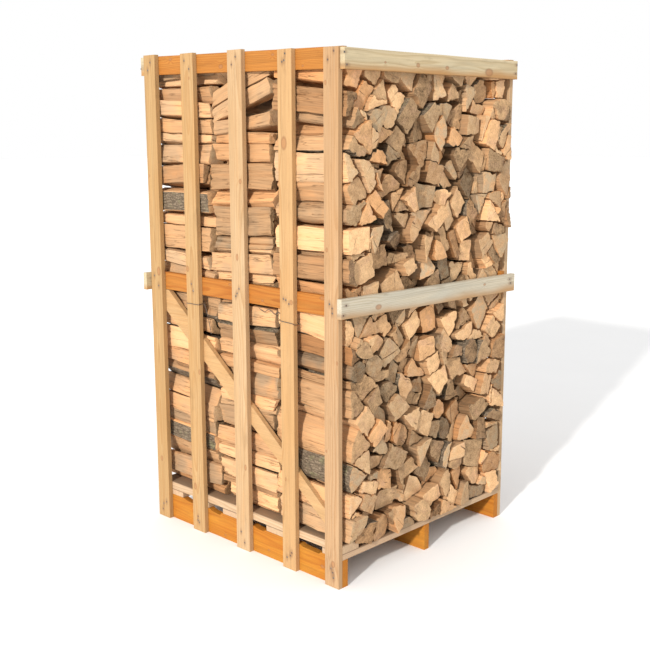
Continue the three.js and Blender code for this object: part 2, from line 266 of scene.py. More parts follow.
@dataclass(frozen=True)
class SawnPine:
    """Rough sawn pine: growth rings in the solid, fibres, saw marks, knots and stain.

    Attributes:
        early: Colour of the pale spring wood.
        late: Colour of the darker lines between rings.
        blush: Colour of the broad patches that wander over the board.
        edge: Colour of stain or grime along one long edge.
        edge_share: How strong that stain is.
        top_dirt_and_shade: How dark the upper face of a flat board is, from grime and painted shade under the
            logs.
        blush_share: How strong the patches are.
        roughness: Middle roughness.
        knot: Colour of a knot's wood.
        knot_ring: Colour of the rings in a knot.
        knot_rim: Colour of the dark rim round a knot.
        nail_stain: Colour of the iron stain round a nail.
        dirt_and_shade_colour: Colour of the grime and painted shade on an upper face.
        ring_scale: How many growth rings there are to a metre.
    """

    early: Colour
    late: Colour
    blush: Colour
    edge: Colour = (0.3, 0.2, 0.1)
    edge_share: float = 0.0
    top_dirt_and_shade: float = 0.0
    blush_share: float = 0.55
    roughness: float = 0.74
    knot: Colour = (0.36, 0.16, 0.06)
    knot_ring: Colour = (0.22, 0.085, 0.03)
    knot_rim: Colour = (0.20, 0.085, 0.035)
    nail_stain: Colour = (0.16, 0.085, 0.045)
    dirt_and_shade_colour: Colour = (0.12, 0.07, 0.04)
    ring_scale: float = 210.0

    def material(
        self,
        name: str,
        low: Vector,
        high: Vector,
        grain: Axis,
        seed: int,
        tint: Colour = (1.0, 1.0, 1.0),
        nails: Sequence[Vector] = (),
    ) -> bpy.types.Material:
        """Builds the finish for one board.

        Args:
            name: The board's name.
            low: The board's lowest corner.
            high: The board's highest corner.
            grain: The direction of its length.
            seed: Makes this board differ from its neighbours.
            tint: What the board's colours are multiplied by.
            nails: Places of the nails in it, which have stained the wood.

        Returns:
            The material.
        """
        rng = np.random.default_rng(seed)
        paint = Painter(f"pine_{name}")
        middle = (low + high) / 2
        size = high - low
        others = sorted((a for a in Axis if a is not grain), key=lambda a: size[a.value], reverse=True)
        place = paint.node("ShaderNodeTexCoord", None, None, "Object")
        parts = paint.split(paint.shifted(place, tuple(-middle)))
        along, across, through = (parts[a.value] for a in (grain, *others))
        shift = rng.uniform(-5.0, 5.0, 3)
        body = paint.vector(along + float(shift[0]), across + float(shift[1]), through + float(shift[2]))

        length, width = size[grain.value], size[others[0].value]
        swirl, knot_core, knot_rim = self._knots((along, across, through), length, width, rng)
        drift = paint.noise(paint.scaled(body, (1.6, 6.0, 6.0)), 1.0, 2.0)
        pith_across = float(rng.uniform(-0.6, 0.6) * width)
        pith_depth = float(rng.choice([-1, 1]) * rng.uniform(0.03, 0.08))
        away_across = across + swirl - pith_across
        away_depth = through - pith_depth
        radius = (away_across * away_across + away_depth * away_depth) ** 0.5
        rings = ((radius * self.ring_scale) + drift * 7.0).fraction()
        late = rings.ease(0.35, 0.92) * (1.0 - rings.ease(0.93, 1.0))

        fibres = paint.noise(paint.scaled(body, (9.0, 520.0, 520.0)), 1.0, 3.0, 0.6)
        patches = paint.noise(paint.scaled(body, (2.2, 9.0, 9.0)), 1.0, 3.0, 0.55)
        speckle = paint.noise(body, 160.0, 2.0, 0.6)
        streaks = paint.noise(paint.scaled(body, (1.1, 85.0, 85.0)), 1.0, 3.0, 0.6)
        grime = paint.noise(paint.scaled(body, (5.0, 22.0, 22.0)), 1.0, 4.0, 0.65, 0.3)

        colour = paint.mix(late * 0.62, self.early, self.late)
        colour = paint.mix(patches.ease(0.42, 0.68) * self.blush_share, colour, self.blush)
        tone = (fibres - 0.5) * 0.55 + (streaks - 0.5) * 0.5 + 1.0
        colour = paint.scaled(colour, tone)
        colour = paint.mix(grime.ease(0.56, 0.74) * 0.3, colour, tuple(0.5 * c for c in self.late))
        colour = paint.mix(speckle.ease(0.6, 0.75) * 0.18, colour, tuple(0.45 * c for c in self.late))
        if self.edge_share > 0.0:
            wander = paint.noise(paint.scaled(body, (4.0, 1.0, 1.0)), 1.0, 2.0) - 0.5
            stain = (0.5 - across / float(width)) + wander * 0.5
            colour = paint.mix(stain.ease(0.5, 0.98) * self.edge_share, colour, self.edge)
        # Darkens the upper face of a flat board: grime, with painted shade under the logs that rest on it.
        if self.top_dirt_and_shade > 0.0:
            top = float(size.z / 2)
            upper = through.ease(top - 0.004, top - 0.001)
            colour = paint.mix(upper * self.top_dirt_and_shade, colour, self.dirt_and_shade_colour)
        colour = paint.scaled(colour, paint.vector(*tint))
        knot_rings = (radius * 900.0 + drift * 5.0).fraction().ease(0.3, 0.9)
        knot_wood = paint.mix(knot_rings * 0.5, self.knot, self.knot_ring)
        colour = paint.mix(knot_core * 0.62, colour, knot_wood)
        colour = paint.mix(knot_rim * 0.5, colour, self.knot_rim)
        for nail in nails:
            spot = nail - middle
            east = (along - float(spot[grain.value])) / 2.2
            north = across - float(spot[others[0].value])
            reach = (east * east + north * north) ** 0.5
            stain = (1.0 - (reach + (patches - 0.5) * 0.012).ease(0.003, 0.011)) * 0.4
            colour = paint.mix(stain, colour, self.nail_stain)

        saw = paint.noise(paint.scaled(body, (330.0, 9.0, 9.0)), 1.0, 1.5, 0.5)
        height = fibres * 0.55 + saw * 0.5 + late * 0.12 - knot_core * 0.5
        rough = fibres * 0.16 + (self.roughness - 0.08) - knot_core * 0.15
        return paint.finish(colour, rough, paint.bump(height, 0.0011, 0.75), Specular_IOR_Level=0.28)

    @staticmethod
    def _knots(
        place: tuple[Socket, Socket, Socket], length: float, width: float, rng: np.random.Generator
    ) -> tuple[Socket, Socket, Socket]:
        """Places a few knots on the board.

        Args:
            place: Where a point is along, across and through the board.
            length: The board's length.
            width: Its width.
            rng: The source of chance.

        Returns:
            How far the grain is pushed aside, the knots' cores and their dark rims.
        """
        along, across, through = place
        count = 1 if length < 0.9 else int(rng.integers(2, 6))
        swirl = core = rim = None
        for slot in range(count):
            where = (slot + rng.uniform(0.15, 0.85)) / count - 0.5
            spot = float(where * length)
            side = float(rng.uniform(-0.38, 0.38) * width)
            radius = float(rng.choice([0.004, 0.007, 0.012], p=[0.55, 0.3, 0.15]) * rng.uniform(0.8, 1.2))
            lean = float(rng.uniform(-0.5, 0.5))
            east = (along - spot) / float(rng.uniform(1.1, 1.8))
            north = across - side + through * lean
            reach = (east * east + north * north) ** 0.5 / radius
            push = (1.0 - reach.ease(0.0, 4.5)) * (north / radius) * 0.006
            here = 1.0 - reach.ease(0.8, 1.05)
            edge = (1.0 - reach.ease(1.0, 1.5)) * reach.ease(0.65, 1.0)
            swirl = push if swirl is None else swirl + push
            core = here if core is None else core + here
            rim = edge if rim is None else rim + edge
        return swirl, core.smallest(1.0), rim.smallest(1.0)


@dataclass(frozen=True)
class SplitSides:
    """The long faces of a log: fresh split wood with torn fibres, and bark where it has some."""

    pale: Colour = (0.58, 0.345, 0.175)
    warm: Colour = (0.44, 0.185, 0.06)
    aged: Colour = (0.30, 0.215, 0.135)
    bark_dark: Colour = (0.13, 0.094, 0.06)
    bark_light: Colour = (0.27, 0.205, 0.14)
    moss: Colour = (0.20, 0.19, 0.095)
    furrow: Colour = (0.06, 0.042, 0.028)
    crack: Colour = (0.17, 0.08, 0.035)
    seam: Colour = (0.16, 0.07, 0.028)

    def material(self) -> bpy.types.Material:
        """Builds the finish; it reads each log's own look and grain from the mesh."""
        paint = Painter("split_wood_sides")
        grain = paint.attribute("grain", "Vector")
        tint, age, warmth = paint.split(paint.attribute("look", "Vector"))
        bark_share = paint.attribute("bark", "Fac")

        fibres = paint.noise(paint.scaled(grain, (7.0, 330.0, 330.0)), 1.0, 4.0, 0.62, 0.2)
        strands = paint.noise(paint.scaled(grain, (3.5, 75.0, 75.0)), 1.0, 3.0, 0.6, 0.4)
        clouds = paint.noise(grain, 9.0, 2.0, 0.5)
        colour = paint.mix(warmth, self.pale, self.warm)
        colour = paint.mix(strands.ease(0.42, 0.7) * 0.55, colour, paint.mix(0.5, colour, self.warm))
        colour = paint.mix(age * clouds.ease(0.35, 0.65), colour, self.aged)
        # The tint carries each log's random tone and, on the long faces of logs inside the stack, painted
        # shade.
        tone = (fibres - 0.5) * 0.75 + (strands - 0.5) * 0.5 + (tint - 0.5) * 0.7 + 0.98
        colour = paint.scaled(colour, tone)
        cracks = paint.noise(paint.scaled(grain, (5.0, 160.0, 160.0)), 1.0, 2.0, 0.5, 0.6)
        crack = cracks.ease(0.66, 0.74)
        colour = paint.mix(crack * 0.6, colour, self.crack)

        seams = paint.noise(paint.scaled(grain, (2.4, 40.0, 40.0)), 1.0, 4.0, 0.6, 0.25)
        veiled = paint.noise(paint.scaled(grain, (7.0, 24.0, 24.0)), 1.0, 2.0).ease(0.42, 0.6)
        seam = (1.0 - (seams - 0.5).size().ease(0.002, 0.012)) * veiled
        colour = paint.mix(seam * 0.4, colour, self.seam)

        buckled = paint.noise(grain, 30.0, 2.0)
        furrowed = paint.vector(buckled * 1.2, buckled * 1.6, buckled)
        run = paint.shifted(paint.scaled(grain, (17.0, 75.0, 75.0)), furrowed)
        plates = paint.cells(run, 1.0)
        grit = paint.noise(grain, 140.0, 4.0, 0.65)
        lichen = paint.noise(grain, 26.0, 3.0, 0.6)
        bark = paint.mix(grit.ease(0.35, 0.7), self.bark_dark, self.bark_light)
        bark = paint.mix(lichen.ease(0.55, 0.7) * 0.6, bark, self.moss)
        bark = paint.mix((1.0 - plates.ease(0.0, 0.16)) * 0.6, bark, self.furrow)
        colour = paint.mix(bark_share.ease(0.35, 0.65), colour, bark)

        wood_height = fibres * 0.6 + strands * 1.3 - crack * 0.9 - seam * 0.8
        bark_height = plates.ease(0.0, 0.15) * 0.9 + grit * 0.9
        height = wood_height * (1.0 - bark_share) + bark_height * bark_share
        rough = fibres * 0.14 + 0.72 + bark_share * 0.08
        return paint.finish(colour, rough, paint.bump(height, 0.0022, 0.9), Specular_IOR_Level=0.22)


@dataclass(frozen=True)
class SawnEnd:
    """A log's cross-cut end: saw lines, faint growth rings, drying cracks and a dusty grey-tan tone."""

    face: Colour = (0.54, 0.345, 0.18)
    heart: Colour = (0.43, 0.205, 0.08)
    blush: Colour = (0.44, 0.255, 0.15)
    aged: Colour = (0.27, 0.215, 0.14)
    rind: Colour = (0.17, 0.12, 0.08)
    check: Colour = (0.09, 0.045, 0.022)
    ring_scale: float = 310.0

    def material(self) -> bpy.types.Material:
        """Builds the finish; it reads each log's look, grain and place about the pith from the mesh."""
        paint = Painter("sawn_log_ends")
        grain = paint.attribute("grain", "Vector")
        tint, age, warmth = paint.split(paint.attribute("look", "Vector"))
        bark_share = paint.attribute("bark", "Fac")
        east, north, _ = paint.split(paint.attribute("pith", "Vector"))
        radius = (east * east + north * north) ** 0.5
        drift = paint.noise(grain, 24.0, 2.0)
        rings = ((radius * self.ring_scale) + drift * 2.2).fraction()
        late = rings.ease(0.4, 0.9) * (1.0 - rings.ease(0.92, 1.0))
        angle = paint.node("ShaderNodeMath", {"operation": "ARCTAN2"}, {0: north, 1: east})
        rays = paint.noise(paint.vector(angle * 9.0, radius * 6.0, tint * 40.0), 1.0, 3.0, 0.6, 0.3)
        checks = rays.ease(0.66, 0.71) * radius.ease(0.004, 0.02)

        clouds = paint.noise(grain, 34.0, 3.0, 0.6)
        mottle = paint.noise(grain, 150.0, 3.0, 0.65)
        pores = paint.noise(grain, 620.0, 2.0, 0.6)
        colour = paint.mix(warmth * 0.8, self.face, self.heart)
        colour = paint.mix(late * 0.3, colour, self.heart)
        blotches = paint.noise(grain, 15.0, 3.0, 0.6)
        colour = paint.mix(blotches.ease(0.5, 0.68) * 0.5, colour, self.blush)
        colour = paint.mix(age * clouds.ease(0.3, 0.65) * 0.9, colour, self.aged)
        cuts = paint.vector(east * 24.0 + tint * 9.0, north * 420.0, age * 30.0)
        saw = paint.noise(cuts, 1.0, 2.0, 0.6)
        tone = (clouds - 0.5) * 1.2 + (mottle - 0.5) * 1.1 + (pores - 0.5) * 0.7 + (saw - 0.5) * 0.4
        tone = tone + (tint - 0.5) + 0.955
        colour = paint.scaled(colour, tone)
        colour = paint.mix(checks * 0.85, colour, self.check)
        colour = paint.mix(bark_share.ease(0.55, 0.9), colour, self.rind)

        height = saw * 0.5 + pores * 0.35 - checks * 1.4 + late * 0.1
        rough = pores * 0.12 + 0.74
        return paint.finish(colour, rough, paint.bump(height, 0.0012, 0.9), Specular_IOR_Level=0.2)


@dataclass(frozen=True)
class DarkSteel:
    """Annealed steel, dull and slightly rusted: tie wire and nail heads."""

    bare: Colour = (0.16, 0.145, 0.13)
    rust: Colour = (0.13, 0.06, 0.03)

    def material(self, name: str) -> bpy.types.Material:
        """Builds the finish.

        Args:
            name: The material's name.

        Returns:
            The material.
        """
        paint = Painter(name)
        place = paint.node("ShaderNodeTexCoord", None, None, "Object")
        patches = paint.noise(place, 70.0, 3.0, 0.6)
        rusted = patches.ease(0.45, 0.62)
        colour = paint.mix(rusted * 0.8, self.bare, self.rust)
        metal = 0.9 - rusted * 0.75
        rough = rusted * 0.35 + 0.38
        grain = paint.noise(place, 900.0, 2.0)
        return paint.finish(colour, rough, paint.bump(grain, 0.0002, 0.5), Metallic=metal)


# ---------------------------------------------------------------- packing the logs' sections


class SectionKind(enum.Enum):
    """How a log was split."""

    WEDGE = enum.auto()
    THIN_WEDGE = enum.auto()
    QUARTER = enum.auto()
    FOUR_SIDED = enum.auto()
    SLAB = enum.auto()
    HALF_ROUND = enum.auto()
    ROUND = enum.auto()
    BLOCK = enum.auto()


SHARES = {
    SectionKind.WEDGE: 0.21,
    SectionKind.THIN_WEDGE: 0.10,
    SectionKind.QUARTER: 0.12,
    SectionKind.FOUR_SIDED: 0.27,
    SectionKind.SLAB: 0.07,
    SectionKind.HALF_ROUND: 0.09,
    SectionKind.ROUND: 0.03,
    SectionKind.BLOCK: 0.11,
}

MOST_CORNERS = 8
TINY = 1e-9
SQUARE = np.array([(-1, -1), (1, -1), (1, 1), (-1, 1)])


@dataclass
class Section:
    """One log's cross-section, centred on its centre of area.

    Attributes:
        corners: Corner places, one row each, going round counterclockwise.
        bark: For each side, whether it is the log's round outside.
        pith: Where the tree's centre lay.
        barked: Whether the outside still has its bark.
        area: Its area.
        spin: Its resistance to turning.
        middle: Where its centre of area lay before it was centred.
    """

    corners: np.ndarray
    bark: list[bool]
    pith: np.ndarray
    barked: bool
    area: float = 0.0
    spin: float = 0.0
    middle: np.ndarray = field(default_factory=lambda: np.zeros(2))

    def __post_init__(self) -> None:
        """Centres the section and works out its area and its resistance to turning."""
        ahead = np.roll(self.corners, -1, axis=0)
        twice = self.corners[:, 0] * ahead[:, 1] - ahead[:, 0] * self.corners[:, 1]
        self.area = float(twice.sum() / 2)
        centre = ((self.corners + ahead) * twice[:, None]).sum(0) / (6 * self.area)
        self.middle = centre
        self.corners = self.corners - centre
        self.pith = self.pith - centre
        ahead = np.roll(self.corners, -1, axis=0)
        squares = (self.corners**2 + self.corners * ahead + ahead**2).sum(1)
        self.spin = float((twice * squares).sum() / 12)


    def bark_facing(self, turn: float, side: float) -> float:
        """The share of the log seen from one side that was the tree's outside.

        Args:
            turn: How far the section is turned.
            side: 1 to look from the +Y side, -1 from the -Y side.

        Returns:
            The share, from 0 to 1.
        """
        along = np.roll(self.corners, -1, axis=0) - self.corners
        facing = np.maximum(0.0, side * (along[:, 1] * math.cos(turn) + along[:, 0] * math.sin(turn)))
        return float(facing[np.array(self.bark)].sum() / facing.sum())


class Splitter:
    """Splits logs into random sections. All sizes are in metres and all angles in radians."""

    def __init__(self, rng: np.random.Generator) -> None:
        """Keeps the source of chance."""
        self.rng = rng

    def split(self) -> Section:
        """Makes one section of a random kind."""
        kinds = list(SHARES)
        kind = kinds[self.rng.choice(len(kinds), p=list(SHARES.values()))]
        if kind in (SectionKind.WEDGE, SectionKind.THIN_WEDGE, SectionKind.QUARTER):
            return self._wedge(kind)
        if kind in (SectionKind.FOUR_SIDED, SectionKind.SLAB, SectionKind.BLOCK):
            return self._four_sided(kind)
        return self._rounded(kind)

    def lump(self, wide: float, high: float) -> Section:
        """A four-sided piece of about a given size."""
        corners = SQUARE * (wide / 2, high / 2) + self.rng.uniform(-0.008, 0.008, (4, 2))
        return Section(corners, [False] * 4, np.array([0.02, -0.06]), False)

    def _wedge(self, kind: SectionKind) -> Section:
        """A slice of the log out to its bark, or with the bark side split off flat."""
        uniform = self.rng.uniform
        spread, reach = {
            SectionKind.WEDGE: (uniform(0.8, 1.25), uniform(0.095, 0.135)),
            SectionKind.THIN_WEDGE: (uniform(0.5, 0.75), uniform(0.11, 0.15)),
            SectionKind.QUARTER: (uniform(1.35, 1.7), uniform(0.08, 0.105)),
        }[kind]
        flat = uniform(0.0, 1.0) < 0.45
        angles = np.linspace(-spread / 2, spread / 2, 2 if flat else 4)
        corners = [(reach * math.cos(a), reach * math.sin(a)) for a in angles]
        bark = [True] * (len(corners) - 1) + [False]
        tip = uniform(0.0, 0.3) * reach
        if tip > 0.015:
            corners += [(tip * math.cos(a), tip * math.sin(a)) for a in (spread / 2, -spread / 2)]
            bark += [False, False]
        else:
            corners.append((0.0, 0.0))
            bark.append(False)
        barked = not flat and uniform(0.0, 1.0) < 0.36
        return Section(np.array(corners), bark, np.zeros(2), barked)

    def _four_sided(self, kind: SectionKind) -> Section:
        """A piece split on four sides."""
        uniform = self.rng.uniform
        wide = uniform(0.075, 0.115)
        high = {
            SectionKind.FOUR_SIDED: uniform(0.06, 0.09),
            SectionKind.SLAB: uniform(0.04, 0.055),
            SectionKind.BLOCK: uniform(0.085, 0.11),
        }[kind]
        corners = SQUARE * (wide / 2, high / 2) + uniform(-0.014, 0.014, (4, 2))
        barked = uniform(0.0, 1.0) < 0.12
        pith = np.array([uniform(-0.03, 0.03), uniform(-0.12, -0.05)])
        return Section(corners, [False, False, True, False], pith, barked)

    def _rounded(self, kind: SectionKind) -> Section:
        """Half of a thin log, or a whole one."""
        uniform = self.rng.uniform
        if kind is SectionKind.HALF_ROUND:
            reach = uniform(0.055, 0.075)
            angles = np.linspace(0.0, math.pi, 6)
            squash, bark = 0.9, [True] * 5 + [False]
        else:
            reach = uniform(0.04, 0.06)
            angles = np.arange(MOST_CORNERS) * (2 * math.pi / MOST_CORNERS)
            squash, bark = 0.93, [True] * MOST_CORNERS
        corners = np.stack([reach * np.cos(angles), squash * reach * np.sin(angles)], 1)
        return Section(corners, bark, np.zeros(2), bool(uniform(0.0, 1.0) < 0.6))


def padded(corners: np.ndarray) -> np.ndarray:
    """Repeats an outline's last corner until it has as many corners as any may have."""
    return np.vstack([corners, np.repeat(corners[-1:], MOST_CORNERS - len(corners), 0)])


@dataclass
class Poses:
    """Where sections lie in the upright plane across the logs: middles and turns."""

    middles: np.ndarray
    turns: np.ndarray

    def copy(self) -> "Poses":
        """A separate copy."""
        return Poses(self.middles.copy(), self.turns.copy())

    def picked(self, chosen: np.ndarray) -> "Poses":
        """The poses of some sections."""
        return Poses(self.middles[chosen], self.turns[chosen])


@dataclass
class Bin:
    """The space one row's sections are packed into, seen along the logs.

    Attributes:
        half_width: From the middle to the rails and braces.
        bulge: From the middle to the slats, between the rails.
        bulge_span: The levels between which logs may press against the slats.
        floor: The cross-boards' top.
        sill_top: The sills' top.
        sill_inner: From the middle to the sills.
        top: The level that the stack is filled to.
    """

    half_width: float
    bulge: float
    bulge_span: tuple[float, float]
    floor: float
    sill_top: float
    sill_inner: float
    top: float

    def walls(self, points: np.ndarray) -> Iterable[tuple[np.ndarray, np.ndarray]]:
        """How far points reach past each wall.

        Args:
            points: Places, with across and up last.

        Returns:
            Pairs of the wall's inward direction and the depths past it.
        """
        across, up = points[..., 0], points[..., 1]
        low, high = self.bulge_span
        half = np.where((up > low) & (up < high), self.bulge, self.half_width)
        ground = np.where(np.abs(across) > self.sill_inner, self.sill_top, self.floor)
        yield np.array([1.0, 0.0]), -half - across
        yield np.array([-1.0, 0.0]), across - half
        yield np.array([0.0, 1.0]), ground - up


class Packing:
    """Packs many convex sections into bins by growing them and pushing overlaps apart.

    All rows are packed at once: sections of different rows don't meet.
    """

    ROW_APART = 100.0
    LONGEST_REACH = 0.25
    MOST_NEIGHBOURS = 72
    MARGIN = 0.02
    WALL_PUSH = 0.01
    PAIR_PUSH = 0.008
    CROWD = 1.6
    STEPS_TO_A_SEARCH = 6
    FIRST_SIZE = 0.70
    GROWTH = 0.30
    FULL_SIZE_AT = 0.45
    SINKING = ((0.65, 0.0002), (0.78, 0.00008), (1.0, 0.0))

    def __init__(self, sections: Sequence[Section], rows: np.ndarray, space: Bin) -> None:
        """Pads every section to the same number of corners.

        Args:
            sections: The sections.
            rows: Each section's row.
            space: The bin that each row fills.
        """
        self.rows, self.space, self.count = rows, space, len(sections)
        self.corners = np.array([padded(s.corners) for s in sections])
        held = np.array([len(s.corners) for s in sections])
        self.real = np.arange(MOST_CORNERS)[None, :] < held[:, None]
        sides = np.roll(self.corners, -1, axis=1) - self.corners
        lengths = np.linalg.norm(sides, axis=2)
        self.normals = np.stack([sides[..., 1], -sides[..., 0]], 2) / np.maximum(lengths, TINY)[..., None]
        for side in range(MOST_CORNERS):
            empty = lengths[:, side] < 1e-6
            self.normals[empty, side] = self.normals[empty, MOST_CORNERS - 1]
        self.reach = np.sqrt((self.corners**2).sum(2)).max(1)
        self.ease = 1.0 / np.array([s.area for s in sections])
        self.ease_turn = 1.0 / np.array([s.spin for s in sections])
        self.depth = np.zeros(self.count)

    def neighbours(self, poses: Poses, grown: float) -> np.ndarray:
        """Pairs of sections near enough to meet."""
        key = self.rows * self.ROW_APART + poses.middles[:, 1]
        order = np.argsort(key, kind="stable")
        key = key[order]
        last = np.searchsorted(key, key + self.LONGEST_REACH)
        base = np.arange(self.count)
        first, second = [], []
        for step in range(1, self.MOST_NEIGHBOURS):
            inside = base + step < last
            if not inside.any():
                break
            first.append(order[base[inside]])
            second.append(order[base[inside] + step])
        pairs = np.stack([np.concatenate(first), np.concatenate(second)], 1)
        apart = poses.middles[pairs[:, 0]] - poses.middles[pairs[:, 1]]
        limit = (self.reach[pairs[:, 0]] + self.reach[pairs[:, 1]]) * grown + self.MARGIN
        return pairs[(apart**2).sum(1) < limit**2]

    def relax(self, poses: Poses, pairs: np.ndarray, grown: float, sink: float) -> None:
        """Lowers every section a little, then pushes overlapping ones and walls apart once.

        Args:
            poses: The poses, changed in place.
            pairs: Pairs that may meet.
            grown: The share of full size that sections have now.
            sink: How far everything sinks first.
        """
        poses.middles[:, 1] -= sink
        cos, sin = np.cos(poses.turns), np.sin(poses.turns)
        turn = np.stack([np.stack([cos, -sin], 1), np.stack([sin, cos], 1)], 1)
        arms = np.einsum("nij,nkj->nki", turn, self.corners) * grown
        normals = np.einsum("nij,nkj->nki", turn, self.normals)
        points = arms + poses.middles[:, None]
        moves = np.zeros((self.count, 4))
        self.depth[:] = 0.0
        self._push_pairs(poses, pairs, points, normals, moves)
        for inward, depth in self.space.walls(points):
            depth = np.where(self.real, depth, -1.0)
            which, corner = np.nonzero(depth > 0.0)
            arm = arms[which, corner]
            lever = arm[:, 0] * inward[1] - arm[:, 1] * inward[0]
            push = np.minimum(depth[which, corner], self.WALL_PUSH)
            push = push / (self.ease[which] + lever**2 * self.ease_turn[which])
            self._gather(moves, which, push[:, None] * inward, push * lever)
        share = self.CROWD / np.maximum(self.CROWD, moves[:, 3])
        poses.middles += moves[:, :2] * share[:, None]
        poses.turns += moves[:, 2] * share

    def _gather(self, moves: np.ndarray, which: np.ndarray, push: np.ndarray, torque: np.ndarray) -> None:
        """Adds pushes to the sections they act on."""
        for column, values in enumerate((push[:, 0] * self.ease[which], push[:, 1] * self.ease[which])):
            moves[:, column] += np.bincount(which, values, self.count)
        moves[:, 2] += np.bincount(which, torque * self.ease_turn[which], self.count)
        moves[:, 3] += np.bincount(which, minlength=self.count)

    @staticmethod
    def _support(normals: np.ndarray, own: np.ndarray, other: np.ndarray) -> np.ndarray:
        """For each side of one section, how far the other stays clear of it."""
        reach = np.matmul(normals, other.transpose(0, 2, 1)) - (normals * own).sum(2)[..., None]
        return reach.min(2)

    def _push_pairs(
        self, poses: Poses, pairs: np.ndarray, points: np.ndarray, normals: np.ndarray, moves: np.ndarray
    ) -> None:
        """Finds where pairs overlap and gathers the pushes that part them."""
        low, high = points.min(1), points.max(1)
        first, second = pairs[:, 0], pairs[:, 1]
        near = (low[first] < high[second]).all(1) & (low[second] < high[first]).all(1)
        first, second = first[near], second[near]
        clear_first = self._support(normals[first], points[first], points[second])
        clear_second = self._support(normals[second], points[second], points[first])
        by_first = clear_first.max(1) >= clear_second.max(1)
        apart = np.maximum(clear_first.max(1), clear_second.max(1))
        side = np.where(by_first, clear_first.argmax(1), clear_second.argmax(1))
        hit = apart < 0.0
        base = np.where(by_first, first, second)[hit]
        other = np.where(by_first, second, first)[hit]
        side = side[hit]
        np.maximum.at(self.depth, base, -apart[hit])
        np.maximum.at(self.depth, other, -apart[hit])

        normal = normals[base, side]
        tangent = np.stack([-normal[:, 1], normal[:, 0]], 1)
        start, end = points[base, side], points[base, (side + 1) % MOST_CORNERS]
        short = np.abs(end - start).sum(1) < 1e-6
        end[short] = points[base[short], 0]
        ends = np.sort(np.stack([(start * tangent).sum(1), (end * tangent).sum(1)]), axis=0)
        facing = np.einsum("pkd,pd->pk", normals[other], normal).argmin(1)
        from_, to = points[other, facing], points[other, (facing + 1) % MOST_CORNERS]
        short = np.abs(to - from_).sum(1) < 1e-6
        from_[short], to[short] = points[other[short], MOST_CORNERS - 1], points[other[short], 0]
        edge = to - from_
        run = (edge * tangent).sum(1)
        run = np.where(np.abs(run) < TINY, TINY, run)
        for limit in ends:
            share = np.clip((limit - (from_ * tangent).sum(1)) / run, 0.0, 1.0)
            touch = from_ + edge * share[:, None]
            depth = -((touch - start) * normal).sum(1)
            deep = depth > 0.0
            one, two, way, spot = base[deep], other[deep], normal[deep], touch[deep]
            arm_one, arm_two = spot - poses.middles[one], spot - poses.middles[two]
            lever_one = arm_one[:, 0] * way[:, 1] - arm_one[:, 1] * way[:, 0]
            lever_two = arm_two[:, 0] * way[:, 1] - arm_two[:, 1] * way[:, 0]
            ease = self.ease[one] + self.ease[two]
            ease = ease + lever_one**2 * self.ease_turn[one] + lever_two**2 * self.ease_turn[two]
            push = np.minimum(depth[deep], self.PAIR_PUSH) / ease
            self._gather(moves, one, -push[:, None] * way, -push * lever_one)
            self._gather(moves, two, push[:, None] * way, push * lever_two)

    def settle(self, poses: Poses, steps: int) -> None:
        """Grows the sections to full size while they sink and push apart, then lets them rest."""
        pairs = np.zeros((0, 2), int)
        for step in range(steps):
            progress = step / steps
            grown = min(1.0, self.FIRST_SIZE + self.GROWTH * progress / self.FULL_SIZE_AT)
            sink = next(depth for until, depth in self.SINKING if progress < until)
            if step % self.STEPS_TO_A_SEARCH == 0:
                pairs = self.neighbours(poses, grown)
            self.relax(poses, pairs, grown, sink)

    def shake(self, poses: Poses, rng: np.random.Generator, steps: int, reach: float, turn: float) -> None:
        """Moves every section its own way a little, then lets them rest, for the logs' other ends.

        Args:
            poses: The poses, changed in place.
            rng: The source of chance.
            steps: How many steps the move takes; the rest takes as many.
            reach: The typical distance moved.
            turn: The typical turn.
        """
        way = rng.normal(0.0, reach, poses.middles.shape) / steps
        spin = rng.normal(0.0, turn, self.count) / steps
        pairs = self.neighbours(poses, 1.0)
        for step in range(2 * steps):
            if step < steps:
                poses.middles += way
                poses.turns += spin
            if step % self.STEPS_TO_A_SEARCH == 0:
                pairs = self.neighbours(poses, 1.0)
            self.relax(poses, pairs, 1.0, 0.0)


